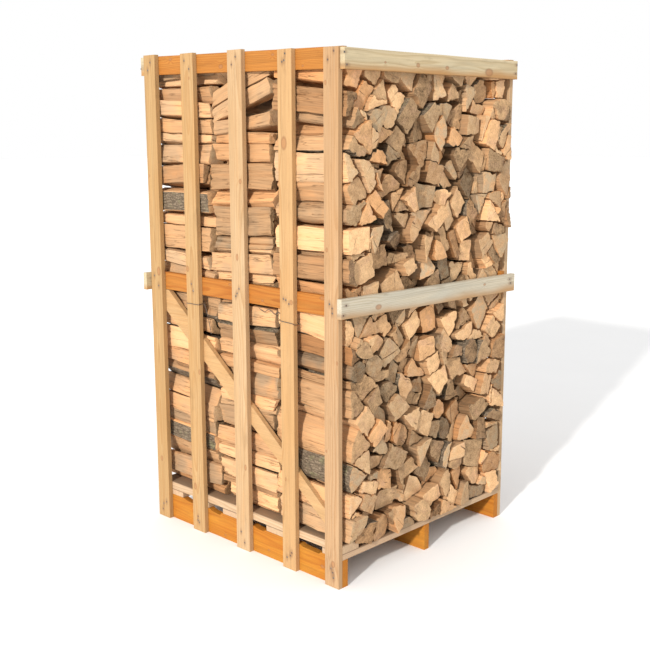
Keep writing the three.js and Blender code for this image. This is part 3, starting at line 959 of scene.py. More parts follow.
@dataclass
class GapFiller:
    """Finds the split pieces that fit the gaps left between packed sections.

    Attributes:
        space: The bin.
        clear: How far a piece stays from its neighbours.
        reach: The longest a piece reaches from its middle.
        least_area: Smaller pieces are left out.
        least_width: The least distance from a piece's middle to a neighbour.
        set_back: How far pieces may stay back from the slats.
        facets: How many sides a piece has before its neighbours cut it.
    """

    space: Bin
    clear: float = 0.0012
    reach: float = 0.062
    least_area: float = 0.00045
    least_width: float = 0.006
    set_back: float = 0.018
    facets: int = 14

    @staticmethod
    def outlines(sections: Sequence[Section], poses: Poses) -> np.ndarray:
        """Places the padded outlines of sections, one block of corners each."""
        placed = np.zeros((len(sections), MOST_CORNERS, 2))
        for number, section in enumerate(sections):
            cos, sin = math.cos(poses.turns[number]), math.sin(poses.turns[number])
            held = section.corners @ np.array([[cos, sin], [-sin, cos]]) + poses.middles[number]
            placed[number] = padded(held)
        return placed

    @staticmethod
    def nearest(spot: np.ndarray, solids: np.ndarray) -> tuple[np.ndarray, np.ndarray]:
        """The nearest place on each outline to a spot, and how far it is (negative inside)."""
        ahead = np.roll(solids, -1, axis=1)
        side = ahead - solids
        away = spot - solids
        share = np.clip((away * side).sum(2) / np.maximum((side**2).sum(2), 1e-12), 0.0, 1.0)
        touch = solids + side * share[..., None]
        reach = np.linalg.norm(touch - spot, axis=2)
        best = reach.argmin(1)
        rows = np.arange(len(solids))
        inside = (side[..., 0] * away[..., 1] - side[..., 1] * away[..., 0] >= -1e-12).all(1)
        return touch[rows, best], np.where(inside, -1.0, reach[rows, best])

    @staticmethod
    def clipped(outline: np.ndarray, way: np.ndarray, limit: float) -> np.ndarray:
        """Cuts off what lies past a line."""
        past = outline @ way - limit
        kept = []
        for number in range(len(outline)):
            after = (number + 1) % len(outline)
            if past[number] <= 0.0:
                kept.append(outline[number])
            if (past[number] < 0.0) != (past[after] < 0.0):
                share = past[number] / (past[number] - past[after])
                kept.append(outline[number] + (outline[after] - outline[number]) * share)
        return np.array(kept).reshape(-1, 2)

    @staticmethod
    def area(outline: np.ndarray) -> float:
        """The area inside an outline."""
        ahead = np.roll(outline, -1, axis=0)
        return float((outline[:, 0] * ahead[:, 1] - ahead[:, 0] * outline[:, 1]).sum() / 2)

    def _walls(self, spot: np.ndarray) -> list[tuple[np.ndarray, float]]:
        """The walls as seen from a spot: outward directions and limits."""
        low, high = self.space.bulge_span
        half = self.space.bulge if low + 0.05 < spot[1] < high - 0.05 else self.space.half_width
        half -= self.set_back * (0.5 + 0.5 * math.sin(spot[1] * 91.0))
        near_sill = abs(spot[0]) > self.space.sill_inner - self.reach
        ground = self.space.sill_top if near_sill else self.space.floor
        return [
            (np.array([1.0, 0.0]), half),
            (np.array([-1.0, 0.0]), half),
            (np.array([0.0, -1.0]), -ground),
            (np.array([0.0, 1.0]), self.space.top),
        ]

    def piece(self, spot: np.ndarray, solids: np.ndarray) -> np.ndarray | None:
        """The convex piece that fits round a spot, if it is big enough."""
        touch, reach = self.nearest(spot, solids)
        if reach.min() < self.least_width:
            return None
        angles = np.arange(self.facets) * (2 * math.pi / self.facets)
        outline = spot + self.reach * np.stack([np.cos(angles), np.sin(angles)], 1)
        for number in np.argsort(reach):
            if reach[number] > self.reach:
                break
            way = (touch[number] - spot) / reach[number]
            outline = self.clipped(outline, way, float(way @ touch[number]) - self.clear)
        for way, limit in self._walls(spot):
            if way @ spot > limit - self.least_width:
                return None
            outline = self.clipped(outline, way, limit - self.clear)
        while len(outline) > MOST_CORNERS - 1:
            before, after = np.roll(outline, 1, axis=0), np.roll(outline, -1, axis=0)
            one, two = outline - before, after - before
            lost = np.abs(one[:, 0] * two[:, 1] - one[:, 1] * two[:, 0])
            outline = np.delete(outline, lost.argmin(), axis=0)
        return outline if len(outline) > 2 and self.area(outline) > self.least_area else None

    def fill(
        self, sections: Sequence[Section], poses: Poses, rng: np.random.Generator, tries: int
    ) -> list[Section]:
        """Fills the gaps of one row.

        Args:
            sections: The row's sections.
            poses: Where they lie.
            rng: The source of chance.
            tries: How many places are tried.

        Returns:
            New sections; each one's middle says where it lies.
        """
        solids = self.outlines(sections, poses)
        half = self.space.bulge
        spots = rng.uniform((-half, self.space.floor), (half, self.space.top), (tries, 2))
        room = np.array([self.nearest(spot, solids)[1].min() for spot in spots])
        found = []
        for number in np.argsort(-room):
            if room[number] < self.least_width:
                break
            best = self.piece(spots[number], solids)
            for _ in range(2):
                if best is None:
                    break
                again = self.piece(best.mean(0), solids)
                if again is None or self.area(again) < self.area(best):
                    break
                best = again
            if best is None:
                continue
            piece = Section(best, [False] * len(best), best.mean(0) + rng.uniform(-0.08, 0.08, 2), False)
            found.append(piece)
            solids = np.concatenate([solids, padded(best)[None]])
        return found


# ---------------------------------------------------------------- building logs


def ripple(first: np.ndarray, second: np.ndarray, seed: np.ndarray | int) -> np.ndarray:
    """Smooth noise from -1 to 1 on a plane.

    Args:
        first: Place along one direction, one unit to a bump.
        second: Place along the other.
        seed: Makes one noise differ from another.

    Returns:
        The noise at each place.
    """
    floor_one, floor_two = np.floor(first), np.floor(second)
    part_one, part_two = first - floor_one, second - floor_two
    part_one = part_one * part_one * (3 - 2 * part_one)
    part_two = part_two * part_two * (3 - 2 * part_two)

    def chance(one: np.ndarray, two: np.ndarray) -> np.ndarray:
        """A repeatable number from -1 to 1 for a corner of the grid."""
        value = np.sin(one * 127.1 + two * 311.7 + seed * 74.7) * 43758.5453
        return 2.0 * (value - np.floor(value)) - 1.0

    near = chance(floor_one, floor_two) * (1 - part_one) + chance(floor_one + 1, floor_two) * part_one
    far = chance(floor_one, floor_two + 1) * (1 - part_one) + chance(floor_one + 1, floor_two + 1) * part_one
    return near * (1 - part_two) + far * part_two


@dataclass(frozen=True)
class Detail:
    """How finely a log is meshed: points round it, rings along it and rings on each end."""

    around: int
    along: int
    end_rings: int


class Sight(enum.Enum):
    """How much of a log can be seen, with the mesh that it gets."""

    SIDE = Detail(50, 12, 2)
    ENDS = Detail(32, 6, 2)
    BURIED = Detail(16, 4, 1)


@dataclass
class LogShape:
    """One log, ready to be meshed.

    Attributes:
        section: Its cross-section.
        near: Middle and turn of its -X end, in the plane across it.
        far: Middle and turn of its +X end.
        ends: Places of its two ends along X.
        sight: How much of it shows.
        seed: Its own chance number.
    """

    section: Section
    near: tuple[np.ndarray, float]
    far: tuple[np.ndarray, float]
    ends: tuple[float, float]
    sight: Sight
    seed: int


HOLLOWS = (0.9, 0.1, 0.6, -0.2, 1.0, 0.3, 0.7, 0.2)
BARK_BULGE = -0.5
SIDES_SLOT = 0
ENDS_SLOT = 1


@dataclass
class Skin:
    """One log's surface while it is put together."""

    points: list[np.ndarray] = field(default_factory=list)
    grains: list[np.ndarray] = field(default_factory=list)
    barks: list[np.ndarray] = field(default_factory=list)
    faces: list[np.ndarray] = field(default_factory=list)
    slots: list[np.ndarray] = field(default_factory=list)
    maps: list[np.ndarray] = field(default_factory=list)
    held: int = 0

    def dots(self, points: np.ndarray, grains: np.ndarray, barks: np.ndarray) -> np.ndarray:
        """Adds points, with their place in the grain and share of bark, and gives their numbers."""
        self.points.append(points)
        self.grains.append(grains)
        self.barks.append(barks)
        self.held += len(points)
        return np.arange(self.held - len(points), self.held)

    def sheet(
        self, corners: Sequence[np.ndarray], places: Sequence[np.ndarray], slot: int, flip: bool = False
    ) -> None:
        """Adds faces.

        Args:
            corners: The numbers of all faces' first corners, of their second corners and so on.
            places: The corners' places on the texture map, in the same order.
            slot: The finish.
            flip: Whether the faces are turned over.
        """
        way = -1 if flip else 1
        self.faces.append(np.stack(corners[::way], 1))
        self.maps.append(np.stack(places[::way], 1).reshape(-1, 2))
        self.slots.append(np.full(len(corners[0]), slot))


class LogMesh:
    """Gathers logs into one mesh."""

    SWELL = 0.952
    TAPER = 0.07
    BOLDER = 1.45
    HOLLOW = 0.035
    CHIP = 0.011
    BOW = 0.0025
    SKEW = 0.11
    RIM = 0.9
    DOME = 0.0008
    # How much the tone of the long faces of logs that don't show from the side is lowered: painted shade in
    # the gaps inside the stack.
    PAINTED_GAP_SHADE = 0.5
    SHARP = math.radians(42.0)

    def __init__(self) -> None:
        """Starts empty."""
        self.points: list[np.ndarray] = []
        self.faces: list[np.ndarray] = []
        self.slots: list[np.ndarray] = []
        self.attributes: dict[str, list[np.ndarray]] = {"grain": [], "look": [], "pith": [], "bark": []}
        self.maps: list[np.ndarray] = []
        self.held = 0

    @staticmethod
    def outline(section: Section, around: int) -> tuple[np.ndarray, ...]:
        """Spreads points round a section, with one on every corner.

        Args:
            section: The section.
            around: How many points.

        Returns:
            The points, their outward directions, their share of bark, their distance to a corner and how
            far they are from the ends of their side, from 0 at a corner to 1 in its middle.
        """
        corners = section.corners
        ahead = np.roll(corners, -1, axis=0)
        lengths = np.linalg.norm(ahead - corners, axis=1)
        shares = lengths / lengths.sum() * around
        counts = np.maximum(1, np.floor(shares).astype(int))
        while counts.sum() < around:
            counts[np.argmax(shares - counts)] += 1
        while counts.sum() > around:
            counts[np.argmax(counts)] -= 1
        places, outward, bark, corner, inner = [], [], [], [], []
        for side, count in enumerate(counts):
            step = np.arange(count) / count
            places.append(corners[side] + (ahead[side] - corners[side]) * step[:, None])
            way = ahead[side] - corners[side]
            normal = np.array([way[1], -way[0]]) / max(lengths[side], TINY)
            outward.append(np.repeat(normal[None], count, 0))
            bark.append(np.full(count, float(section.bark[side] and section.barked)))
            corner.append(np.minimum(step, 1 - step) * lengths[side])
            depth = BARK_BULGE if section.bark[side] else HOLLOWS[side % len(HOLLOWS)]
            inner.append(4 * step * (1 - step) * lengths[side] * depth)
        outward_all = np.concatenate(outward)
        bark_all = np.concatenate(bark)
        starts = np.cumsum(counts) - counts
        for side, start in enumerate(starts):
            before = (start - 1) % around
            blend = outward_all[start] + outward_all[before]
            outward_all[start] = blend / max(np.linalg.norm(blend), TINY)
            bark_all[start] = min(bark_all[start], float(section.bark[side - 1] and section.barked))
        return np.concatenate(places), outward_all, bark_all, np.concatenate(corner), np.concatenate(inner)

    def add(self, shape: LogShape, cell: tuple[float, float, float]) -> None:
        """Adds one log.

        Args:
            shape: The log.
            cell: Its square on the piece's texture map: left, bottom and size.
        """
        rng = np.random.default_rng(shape.seed)
        detail = shape.sight.value
        around, along = detail.around, detail.along
        flat, outward, bark, corner, hollow = self.outline(shape.section, around)
        arc = np.concatenate([[0.0], np.cumsum(np.linalg.norm(np.diff(flat, axis=0), axis=1))])
        stations = np.linspace(0.0, 1.0, along)
        length = shape.ends[1] - shape.ends[0]
        way = stations[:, None] * length
        arcs = np.repeat(arc[None], along, 0)
        relief = self._relief(way, arcs, bark[None], corner[None], shape.seed, rng)
        if shape.sight is Sight.SIDE:
            relief = relief * self.BOLDER
        relief = relief - np.where(bark > 0.5, 0.0, hollow * rng.uniform(-0.2, 1.0))[None] * self.HOLLOW
        from_end = np.minimum(way, length - way)
        which_end = (way > length / 2) * 9.0
        chips = np.maximum(0.0, ripple(which_end, arcs / 0.018, shape.seed + 21))
        relief = relief - self.CHIP * chips**2 * np.exp(-from_end / 0.014)
        swell = self.SWELL + rng.uniform(-self.TAPER, self.TAPER) * (way / length - 0.5)
        ring = flat[None] * swell[..., None] + outward[None] * relief[..., None]
        placed = self._placed(ring, stations, shape, rng)
        grain = np.concatenate([np.repeat(way[..., None], around, 1), np.repeat(flat[None], along, 0)], 2)
        self._join(placed, grain, bark, shape, rng, cell)

    @staticmethod
    def _relief(
        way: np.ndarray,
        arc: np.ndarray,
        bark: np.ndarray,
        corner: np.ndarray,
        seed: int,
        rng: np.random.Generator,
    ) -> np.ndarray:
        """How far the surface stands in or out.

        Args:
            way: Places along the log, one row each.
            arc: Places round it, for every point.
            bark: Each point's share of bark.
            corner: Each point's distance to a corner.
            seed: The log's own chance number.
            rng: The source of chance.

        Returns:
            The relief of every point: hollows, fibres, a cleft, a torn step and worn corners, or bark.
        """
        still = np.zeros_like(way)
        broad = 0.0026 * ripple(way / 0.16, arc / 0.055, seed)
        fibre = 0.0015 * ripple(way / 0.19, arc / 0.010, seed + 3)
        fibre = fibre + 0.0008 * ripple(way / 0.07, arc / 0.005, seed + 5)
        cleft = arc.max() * rng.uniform(0.1, 0.9) + 0.015 * ripple(way / 0.14, still, seed + 15)
        fibre = fibre - rng.uniform(0.0, 0.006) * np.exp(-(((arc - cleft) / 0.0025) ** 2))
        line = arc.max() * rng.uniform(0.15, 0.85) + 0.012 * ripple(way / 0.12, still, seed + 7)
        torn = rng.choice([0.0, 0.0025, 0.005], p=[0.4, 0.35, 0.25])
        past = arc - line
        step = -torn * (1.0 / (1.0 + np.exp(-past / 0.0012))) * np.exp(-np.maximum(past, 0.0) / 0.03)
        worn = -0.0035 * np.exp(-corner / 0.004) * (0.55 + 0.45 * ripple(way / 0.035, still, seed + 9))
        wood = broad + fibre + step + worn
        plates = 0.0016 * ripple(way / 0.05, arc / 0.02, seed + 11)
        plates = plates + 0.0009 * ripple(way / 0.015, arc / 0.009, seed + 13)
        return wood * (1 - bark) + (0.5 * broad + plates) * bark

    @staticmethod
    def _placed(
        ring: np.ndarray, stations: np.ndarray, shape: LogShape, rng: np.random.Generator
    ) -> np.ndarray:
        """Carries rings of points to their place in the stack.

        Args:
            ring: The points of each ring, across and up.
            stations: Each ring's place along the log, from 0 to 1.
            shape: The log.
            rng: The source of chance.

        Returns:
            Places of every point, ring by ring.
        """
        turns = shape.near[1] + (shape.far[1] - shape.near[1]) * stations
        cos, sin = np.cos(turns)[:, None], np.sin(turns)[:, None]
        bow = rng.normal(0.0, LogMesh.BOW, 2)
        middle = shape.near[0] + (shape.far[0] - shape.near[0]) * stations[:, None]
        middle = middle + bow * np.sin(math.pi * stations)[:, None]
        across = ring[..., 0] * cos - ring[..., 1] * sin + middle[:, :1]
        up = ring[..., 0] * sin + ring[..., 1] * cos + middle[:, 1:]
        length = shape.ends[1] - shape.ends[0]
        skew = np.where(stations[:, None] < 0.5, *rng.normal(0.0, LogMesh.SKEW, 2))
        tilt = np.where(stations[:, None] < 0.5, *rng.normal(0.0, LogMesh.SKEW, 2))
        near_end = np.abs(2 * stations[:, None] - 1) ** 4
        along = shape.ends[0] + length * stations[:, None]
        along = along + near_end * (skew * ring[..., 0] + tilt * ring[..., 1])
        return np.stack([along, across, up], 2)

    def _join(
        self,
        placed: np.ndarray,
        grain: np.ndarray,
        bark: np.ndarray,
        shape: LogShape,
        rng: np.random.Generator,
        cell: tuple[float, float, float],
    ) -> None:
        """Adds a log's long faces and its two ends.

        Args:
            placed: Its points, ring by ring.
            grain: Their places in the log.
            bark: The share of bark round a ring.
            shape: The log.
            rng: The source of chance.
            cell: Its square on the texture map.
        """
        look = np.array([rng.uniform(), rng.beta(0.7, 1.5), rng.beta(0.7, 1.9)])
        offset = rng.uniform(-40.0, 40.0, 3)
        skin = Skin()
        self._sides(skin, placed, grain, bark, cell)
        for end, edge in enumerate((0, -1)):
            self._sawn_end(skin, placed[edge], grain[edge], bark, shape.sight.value.end_rings, end, cell)
        points, grains = np.concatenate(skin.points), np.concatenate(skin.grains)
        looks = np.repeat(look[None], len(points), 0)
        # Painted shade: the long faces of logs that don't show from the side get a lower tone, so the gaps
        # between the logs look darker.
        if shape.sight is not Sight.SIDE:
            looks[: bark.size * len(placed), 0] -= self.PAINTED_GAP_SHADE
        pith = np.concatenate([grains[:, 1:] - shape.section.pith, np.zeros((len(points), 1))], 1)
        values = {"grain": grains + offset, "look": looks, "pith": pith, "bark": np.concatenate(skin.barks)}
        for key, value in values.items():
            self.attributes[key].append(value)
        self.points.append(points)
        self.faces += [block + self.held for block in skin.faces]
        self.slots += skin.slots
        self.maps += skin.maps
        self.held += len(points)

    @staticmethod
    def _sides(
        skin: Skin, placed: np.ndarray, grain: np.ndarray, bark: np.ndarray, cell: tuple[float, float, float]
    ) -> None:
        """Adds the long faces, which fill the left two thirds of the log's square on the map."""
        along, around = placed.shape[:2]
        numbers = skin.dots(placed.reshape(-1, 3), grain.reshape(-1, 3), np.tile(bark, along))
        numbers = numbers.reshape(along, around)
        after = np.roll(numbers, -1, axis=1)
        left, bottom, size = cell
        right = left + size * 0.02 + size * 0.64 * (np.arange(along) / (along - 1))
        up = bottom + size * 0.02 + size * 0.96 * (np.arange(around + 1) / around)
        grid = np.stack(np.meshgrid(right, up, indexing="ij"), 2)
        corners = (numbers[:-1], after[:-1], after[1:], numbers[1:])
        places = (grid[:-1, :-1], grid[:-1, 1:], grid[1:, 1:], grid[1:, :-1])
        skin.sheet([c.reshape(-1) for c in corners], [p.reshape(-1, 2) for p in places], SIDES_SLOT)

    @staticmethod
    def _sawn_end(
        skin: Skin,
        rim: np.ndarray,
        grain: np.ndarray,
        bark: np.ndarray,
        rings: int,
        end: int,
        cell: tuple[float, float, float],
    ) -> None:
        """Adds one end: rings that shrink to its middle, domed a little inside the rim.

        Args:
            skin: The log's surface.
            rim: The points round the end.
            grain: Their places in the log.
            bark: Their share of bark.
            rings: How many rings lie inside the rim.
            end: 0 for the -X end, 1 for the +X end.
            cell: The log's square on the texture map; the ends fill its right third.
        """
        flip = end == 0
        around = len(rim)
        shares = [1.0 - ring / (rings + 1) for ring in range(rings + 1)]
        if rings > 1:
            shares[1] = LogMesh.RIM
        centre, grain_centre = rim.mean(0), grain.mean(0)
        spread = np.abs(grain[:, 1:]).max()
        left, bottom, size = cell
        right, up, half = left + size * 0.68, bottom + size * (0.02 + 0.49 * end), size * 0.3 / 2

        def spot(local: np.ndarray) -> np.ndarray:
            """Places a point of the end on the texture map."""
            over = right + half * (1 + local[..., 1] / spread)
            return np.stack([over, up + half * (1.5 + local[..., 2] / spread)], -1)

        numbers, flats = [], []
        for level, share in enumerate(shares):
            spots = centre + (rim - centre) * share
            if level == 1:
                spots = spots + np.array([(-1 if flip else 1) * LogMesh.DOME, 0.0, 0.0])
            flats.append(grain_centre + (grain - grain_centre) * share)
            numbers.append(skin.dots(spots, flats[-1], bark * float(level == 0)))
        hub = skin.dots(centre[None], grain_centre[None], np.zeros(1))
        for outer, inner, outer_flat, inner_flat in zip(numbers, numbers[1:], flats, flats[1:]):
            corners = (outer, np.roll(outer, -1), np.roll(inner, -1), inner)
            places = (outer_flat, np.roll(outer_flat, -1, 0), np.roll(inner_flat, -1, 0), inner_flat)
            skin.sheet(corners, [spot(p) for p in places], ENDS_SLOT, flip)
        corners = (numbers[-1], np.roll(numbers[-1], -1), np.full(around, hub[0]))
        places = (flats[-1], np.roll(flats[-1], -1, 0), np.repeat(grain_centre[None], around, 0))
        skin.sheet(corners, [spot(p) for p in places], ENDS_SLOT, flip)

    def build(self, name: str, materials: Sequence[bpy.types.Material]) -> bpy.types.Object:
        """Makes the object.

        Args:
            name: The piece's name.
            materials: Its finishes, in the order of the faces' slots.

        Returns:
            The object.
        """
        mesh = bpy.data.meshes.new(name)
        points = np.concatenate(self.points)
        loops = np.concatenate([f.reshape(-1) for f in self.faces])
        totals = np.concatenate([np.full(len(f), f.shape[1]) for f in self.faces])
        starts = np.cumsum(totals) - totals
        mesh.vertices.add(len(points))
        mesh.vertices.foreach_set("co", points.astype(np.float32).ravel())
        mesh.loops.add(len(loops))
        mesh.loops.foreach_set("vertex_index", loops.astype(np.int32))
        mesh.polygons.add(len(totals))
        mesh.polygons.foreach_set("loop_start", starts.astype(np.int32))
        mesh.polygons.foreach_set("loop_total", totals.astype(np.int32))
        mesh.polygons.foreach_set("material_index", np.concatenate(self.slots).astype(np.int32))
        mesh.update(calc_edges=True)
        for key, blocks in self.attributes.items():
            kind, part = ("FLOAT", "value") if key == "bark" else ("FLOAT_VECTOR", "vector")
            layer = mesh.attributes.new(key, kind, "POINT")
            layer.data.foreach_set(part, np.concatenate(blocks).astype(np.float32).ravel())
        uv = mesh.uv_layers.new(name="OFBake")
        uv.data.foreach_set("uv", np.concatenate(self.maps).astype(np.float32).ravel())
        mesh.polygons.foreach_set("use_smooth", np.ones(len(totals), bool))
        mesh.set_sharp_from_angle(angle=self.SHARP)
        for material in materials:
            mesh.materials.append(material)
        mesh.validate()
        made = bpy.data.objects.new(name, mesh)
        bpy.context.scene.collection.objects.link(made)
        return made


@dataclass(frozen=True)
class EndZone:
    """How the logs of a part of an open face end: how far past the face at most, and how far back of it."""

    proud: float
    back: float
    spread: float


# Keyed by whether a log's end is behind a board and whether it is beside the slats.
END_ZONES = {
    (True, True): EndZone(0.0, 0.006, 0.006),
    (True, False): EndZone(0.0, 0.012, 0.012),
    (False, True): EndZone(0.026, 0.006, 0.006),
    (False, False): EndZone(0.020, 0.024, 0.019),
}


@dataclass
class LogStack:
    """Three rows of split logs.

    Attributes:
        seed: Makes the stack.
        rows: How many rows stand one behind the other along X.
        abreast: How many logs start side by side in a row.
        fill: The sections' area as a share of the bin's.
        steps: How many steps the sections settle for.
        tries: How many places are tried for the small pieces of a row.
        row_pitch: From a row's middle to the next.
        face: From the middle to where the stack's open faces lie.
        lean: How far a log's ends may lie higher or lower than its middle.
        columns: How many meshes a row is parted into.
        deepest: Sections that overlap more than this after packing are left out.
        loosest: The same after the shake.
        edge: How far from the middle an open face's edge zones start.
        short_reach: Logs that reach less than this from their middle are cut shorter.
        short_by: How much shorter.
        seam_wave: How far the seams between the rows wander.
        seam_gap: The typical and the largest distance from a log's end to its seam.
        propped_from: The level above which the middle row's front logs make way for leaning ones.
        propped_depth: The same, across.
        propped: The levels of the leaning logs' two ends.
        propped_across: Where they lie across.
        propped_size: Their width and height.
        propped_ends: Where they start and stop along X.
        seen_depth: Logs nearer than this to the slats are meshed as seen from the side.
        seen_top: The same below the top of the stack.
        seen_bark: The share of its outside that a log at the slats shows to have bark.
        heap: How far the stack's top stands above the top rails' lower edge.
        shakes: Steps, reach and turn of the shakes that part the logs' two ends.
        logs: The logs of each column of each row.
    """

    seed: int = 20
    rows: int = 3
    abreast: int = 9
    fill: float = 0.80
    steps: int = 640
    tries: int = 4600
    row_pitch: float = 0.375
    face: float = 0.5640
    lean: float = 0.026
    columns: int = 4
    deepest: float = 0.016
    loosest: float = 0.02
    edge: float = 0.34
    short_reach: float = 0.045
    short_by: float = 0.045
    seam_wave: float = 0.027
    seam_gap: tuple[float, float] = (0.013, 0.034)
    propped_from: float = 1.715
    propped_depth: float = -0.395
    propped: tuple[tuple[float, float], ...] = ((1.728, 1.762), (1.775, 1.886), (1.845, 1.956))
    propped_across: float = -0.452
    propped_size: tuple[float, float] = (0.088, 0.064)
    propped_ends: tuple[float, float] = (-0.172, 0.168)
    seen_depth: float = 0.12
    seen_top: float = 0.13
    seen_bark: float = 0.45
    heap: float = 0.045
    shakes: tuple[tuple[int, float, float], ...] = ((30, 0.006, 0.03), (40, 0.012, 0.06))
    logs: list[list[LogShape]] = field(default_factory=list)

    def space(self) -> Bin:
        """Reads the bin's walls and floor from the frame."""
        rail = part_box("front_top_rail")
        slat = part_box("front_slat_1")
        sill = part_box("front_sill")
        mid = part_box("front_mid_rail")
        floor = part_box("cross_board_1")[1].z
        return Bin(
            half_width=-rail[1].y - 0.001,
            bulge=-slat[1].y - 0.003,
            bulge_span=(mid[1].z + 0.01, rail[0].z - 0.01),
            floor=floor + 0.0005,
            sill_top=sill[1].z + 0.0005,
            sill_inner=-sill[1].y,
            top=rail[0].z + self.heap,
        )

    def pack(self) -> None:
        """Packs the sections of all rows, and finds how each log lies."""
        rng = np.random.default_rng(self.seed)
        space = self.space()
        splitter = Splitter(rng)
        sections, rows, starts = [], [], []
        width = 2 * space.half_width
        for row in range(self.rows):
            mine: list[Section] = []
            while sum(s.area for s in mine) < width * (space.top - space.floor) * self.fill:
                mine.append(splitter.split())
            layers = math.ceil(len(mine) / self.abreast)
            for number in range(len(mine)):
                layer, place = divmod(number, self.abreast)
                stagger = 0.25 if layer % 2 else -0.25
                across = width * ((place + 0.5 + stagger) / self.abreast - 0.5)
                up = space.floor + (space.top + 0.08 - space.floor) * (layer + 0.5) / layers
                starts.append((across, up))
            sections += mine
            rows += [row] * len(mine)
        middles = np.array(starts) + rng.uniform(-0.015, 0.015, (len(starts), 2))
        middles[:, 0] = np.clip(middles[:, 0], 0.04 - width / 2, width / 2 - 0.04)
        poses = Poses(middles, rng.uniform(0.0, 2 * math.pi, len(sections)))
        packing = Packing(sections, np.array(rows), space)
        packing.settle(poses, self.steps)
        tops = GapFiller.outlines(sections, poses)[..., 1].max(1)
        kept = np.flatnonzero((packing.depth < self.deepest) & (tops < space.top + 0.012))
        log.info("packed %d sections, kept %d", len(sections), len(kept))
        sections, poses = [sections[k] for k in kept], poses.picked(kept)
        sections, rows, poses = self._filled(sections, np.array(rows)[kept], poses, rng)
        packing = Packing(sections, rows, space)
        near, far = poses.copy(), poses.copy()
        lean = ripple(poses.middles[:, 0] / 0.3 + 7.0, poses.middles[:, 1] / 0.16, rows + 5.0)
        near.middles[:, 1] -= self.lean * lean
        far.middles[:, 1] += self.lean * lean
        loose = np.zeros(len(sections))
        for end, shake in zip((near, far), self.shakes):
            packing.shake(end, rng, *shake)
            loose = np.maximum(loose, packing.depth)
        kept = np.flatnonzero(loose < self.loosest)
        log.info("laid %d logs, %d left out", len(kept), len(sections) - len(kept))
        self._lay([sections[k] for k in kept], rows[kept], near.picked(kept), far.picked(kept), rng)

    def _filled(
        self, sections: list[Section], rows: np.ndarray, poses: Poses, rng: np.random.Generator
    ) -> tuple[list[Section], np.ndarray, Poses]:
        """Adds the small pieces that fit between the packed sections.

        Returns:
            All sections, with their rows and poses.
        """
        filler = GapFiller(self.space())
        middles, turns, owners = [poses.middles], [poses.turns], [rows]
        everything = list(sections)
        for row in range(self.rows):
            mine = np.flatnonzero(rows == row)
            found = filler.fill([sections[k] for k in mine], poses.picked(mine), rng, self.tries)
            log.info("row %d: %d small pieces fill its gaps", row + 1, len(found))
            everything += found
            middles.append(np.array([f.middle for f in found]).reshape(-1, 2))
            turns.append(np.zeros(len(found)))
            owners.append(np.full(len(found), row))
        return everything, np.concatenate(owners), Poses(np.concatenate(middles), np.concatenate(turns))

    def _ends(
        self, row: int, spot: np.ndarray, reach: float, rng: np.random.Generator
    ) -> tuple[float, float]:
        """Where a log starts and stops along X.

        Args:
            row: Its row.
            spot: Its middle, across and up.
            reach: How far it reaches from its middle.
            rng: The source of chance.

        Returns:
            Its two ends.
        """
        edges = []
        at_edge = abs(spot[0]) > self.edge
        short = self.short_by * float(reach < self.short_reach and not at_edge)
        for side, place in ((0, row - 2), (1, row - 1)):
            inward = 1 - 2 * side
            if (row, side) in ((0, 0), (self.rows - 1, 1)):
                boards = [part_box(f"{('left', 'right')[side]}_{level}_board") for level in ("top", "mid")]
                low, high = spot[1] - reach - 0.01, spot[1] + reach + 0.01
                behind = any(board[0].z < high and board[1].z > low for board in boards)
                zone = END_ZONES[behind, at_edge]
                back = max(0.0015, float(rng.normal(zone.back, zone.spread)))
                edges.append(-inward * (self.face + zone.proud - short - back))
            else:
                seam = self.row_pitch * (place + 0.5)
                wave = float(ripple(np.array(spot[0] / 0.25), np.array(spot[1] / 0.15), 40 + place))
                typical, largest = self.seam_gap
                gap = min(largest, 0.0015 + abs(float(rng.normal(0.0, typical))))
                edges.append(seam + self.seam_wave * wave + inward * gap)
        return edges[0], edges[1]

    def _lay(
        self, sections: Sequence[Section], rows: np.ndarray, near: Poses, far: Poses, rng: np.random.Generator
    ) -> None:
        """Turns packed sections into logs, grouped into columns along each row.

        Args:
            sections: The sections.
            rows: Their rows.
            near: The poses of the logs' -X ends.
            far: The poses of their +X ends.
            rng: The source of chance.
        """
        self.logs = [[] for _ in range(self.rows * self.columns)]
        space = self.space()
        for number, section in enumerate(sections):
            row = int(rows[number])
            middle = (near.middles[number] + far.middles[number]) / 2
            reach = float(np.linalg.norm(section.corners, axis=1).max())
            ends = self._ends(row, middle, reach, rng)
            beside = abs(middle[0]) > space.half_width - self.seen_depth
            turn = float(near.turns[number] + far.turns[number]) / 2
            facing = section.bark_facing(turn, math.copysign(1.0, middle[0]))
            if beside and number % 2 == 0 and facing > self.seen_bark:
                section.barked = True
            above = middle[1] > space.top - self.seen_top
            sight = Sight.SIDE if beside or above else Sight.ENDS if row != 1 else Sight.BURIED
            column = int(np.clip((middle[0] / space.half_width + 1) / 2 * self.columns, 0, self.columns - 1))
            lie = [(poses.middles[number], float(poses.turns[number])) for poses in (near, far)]
            self.logs[row * self.columns + column].append(LogShape(section, *lie, ends, sight, 1000 + number))
        log.info("%d logs have kept bark", sum(section.barked for section in sections))

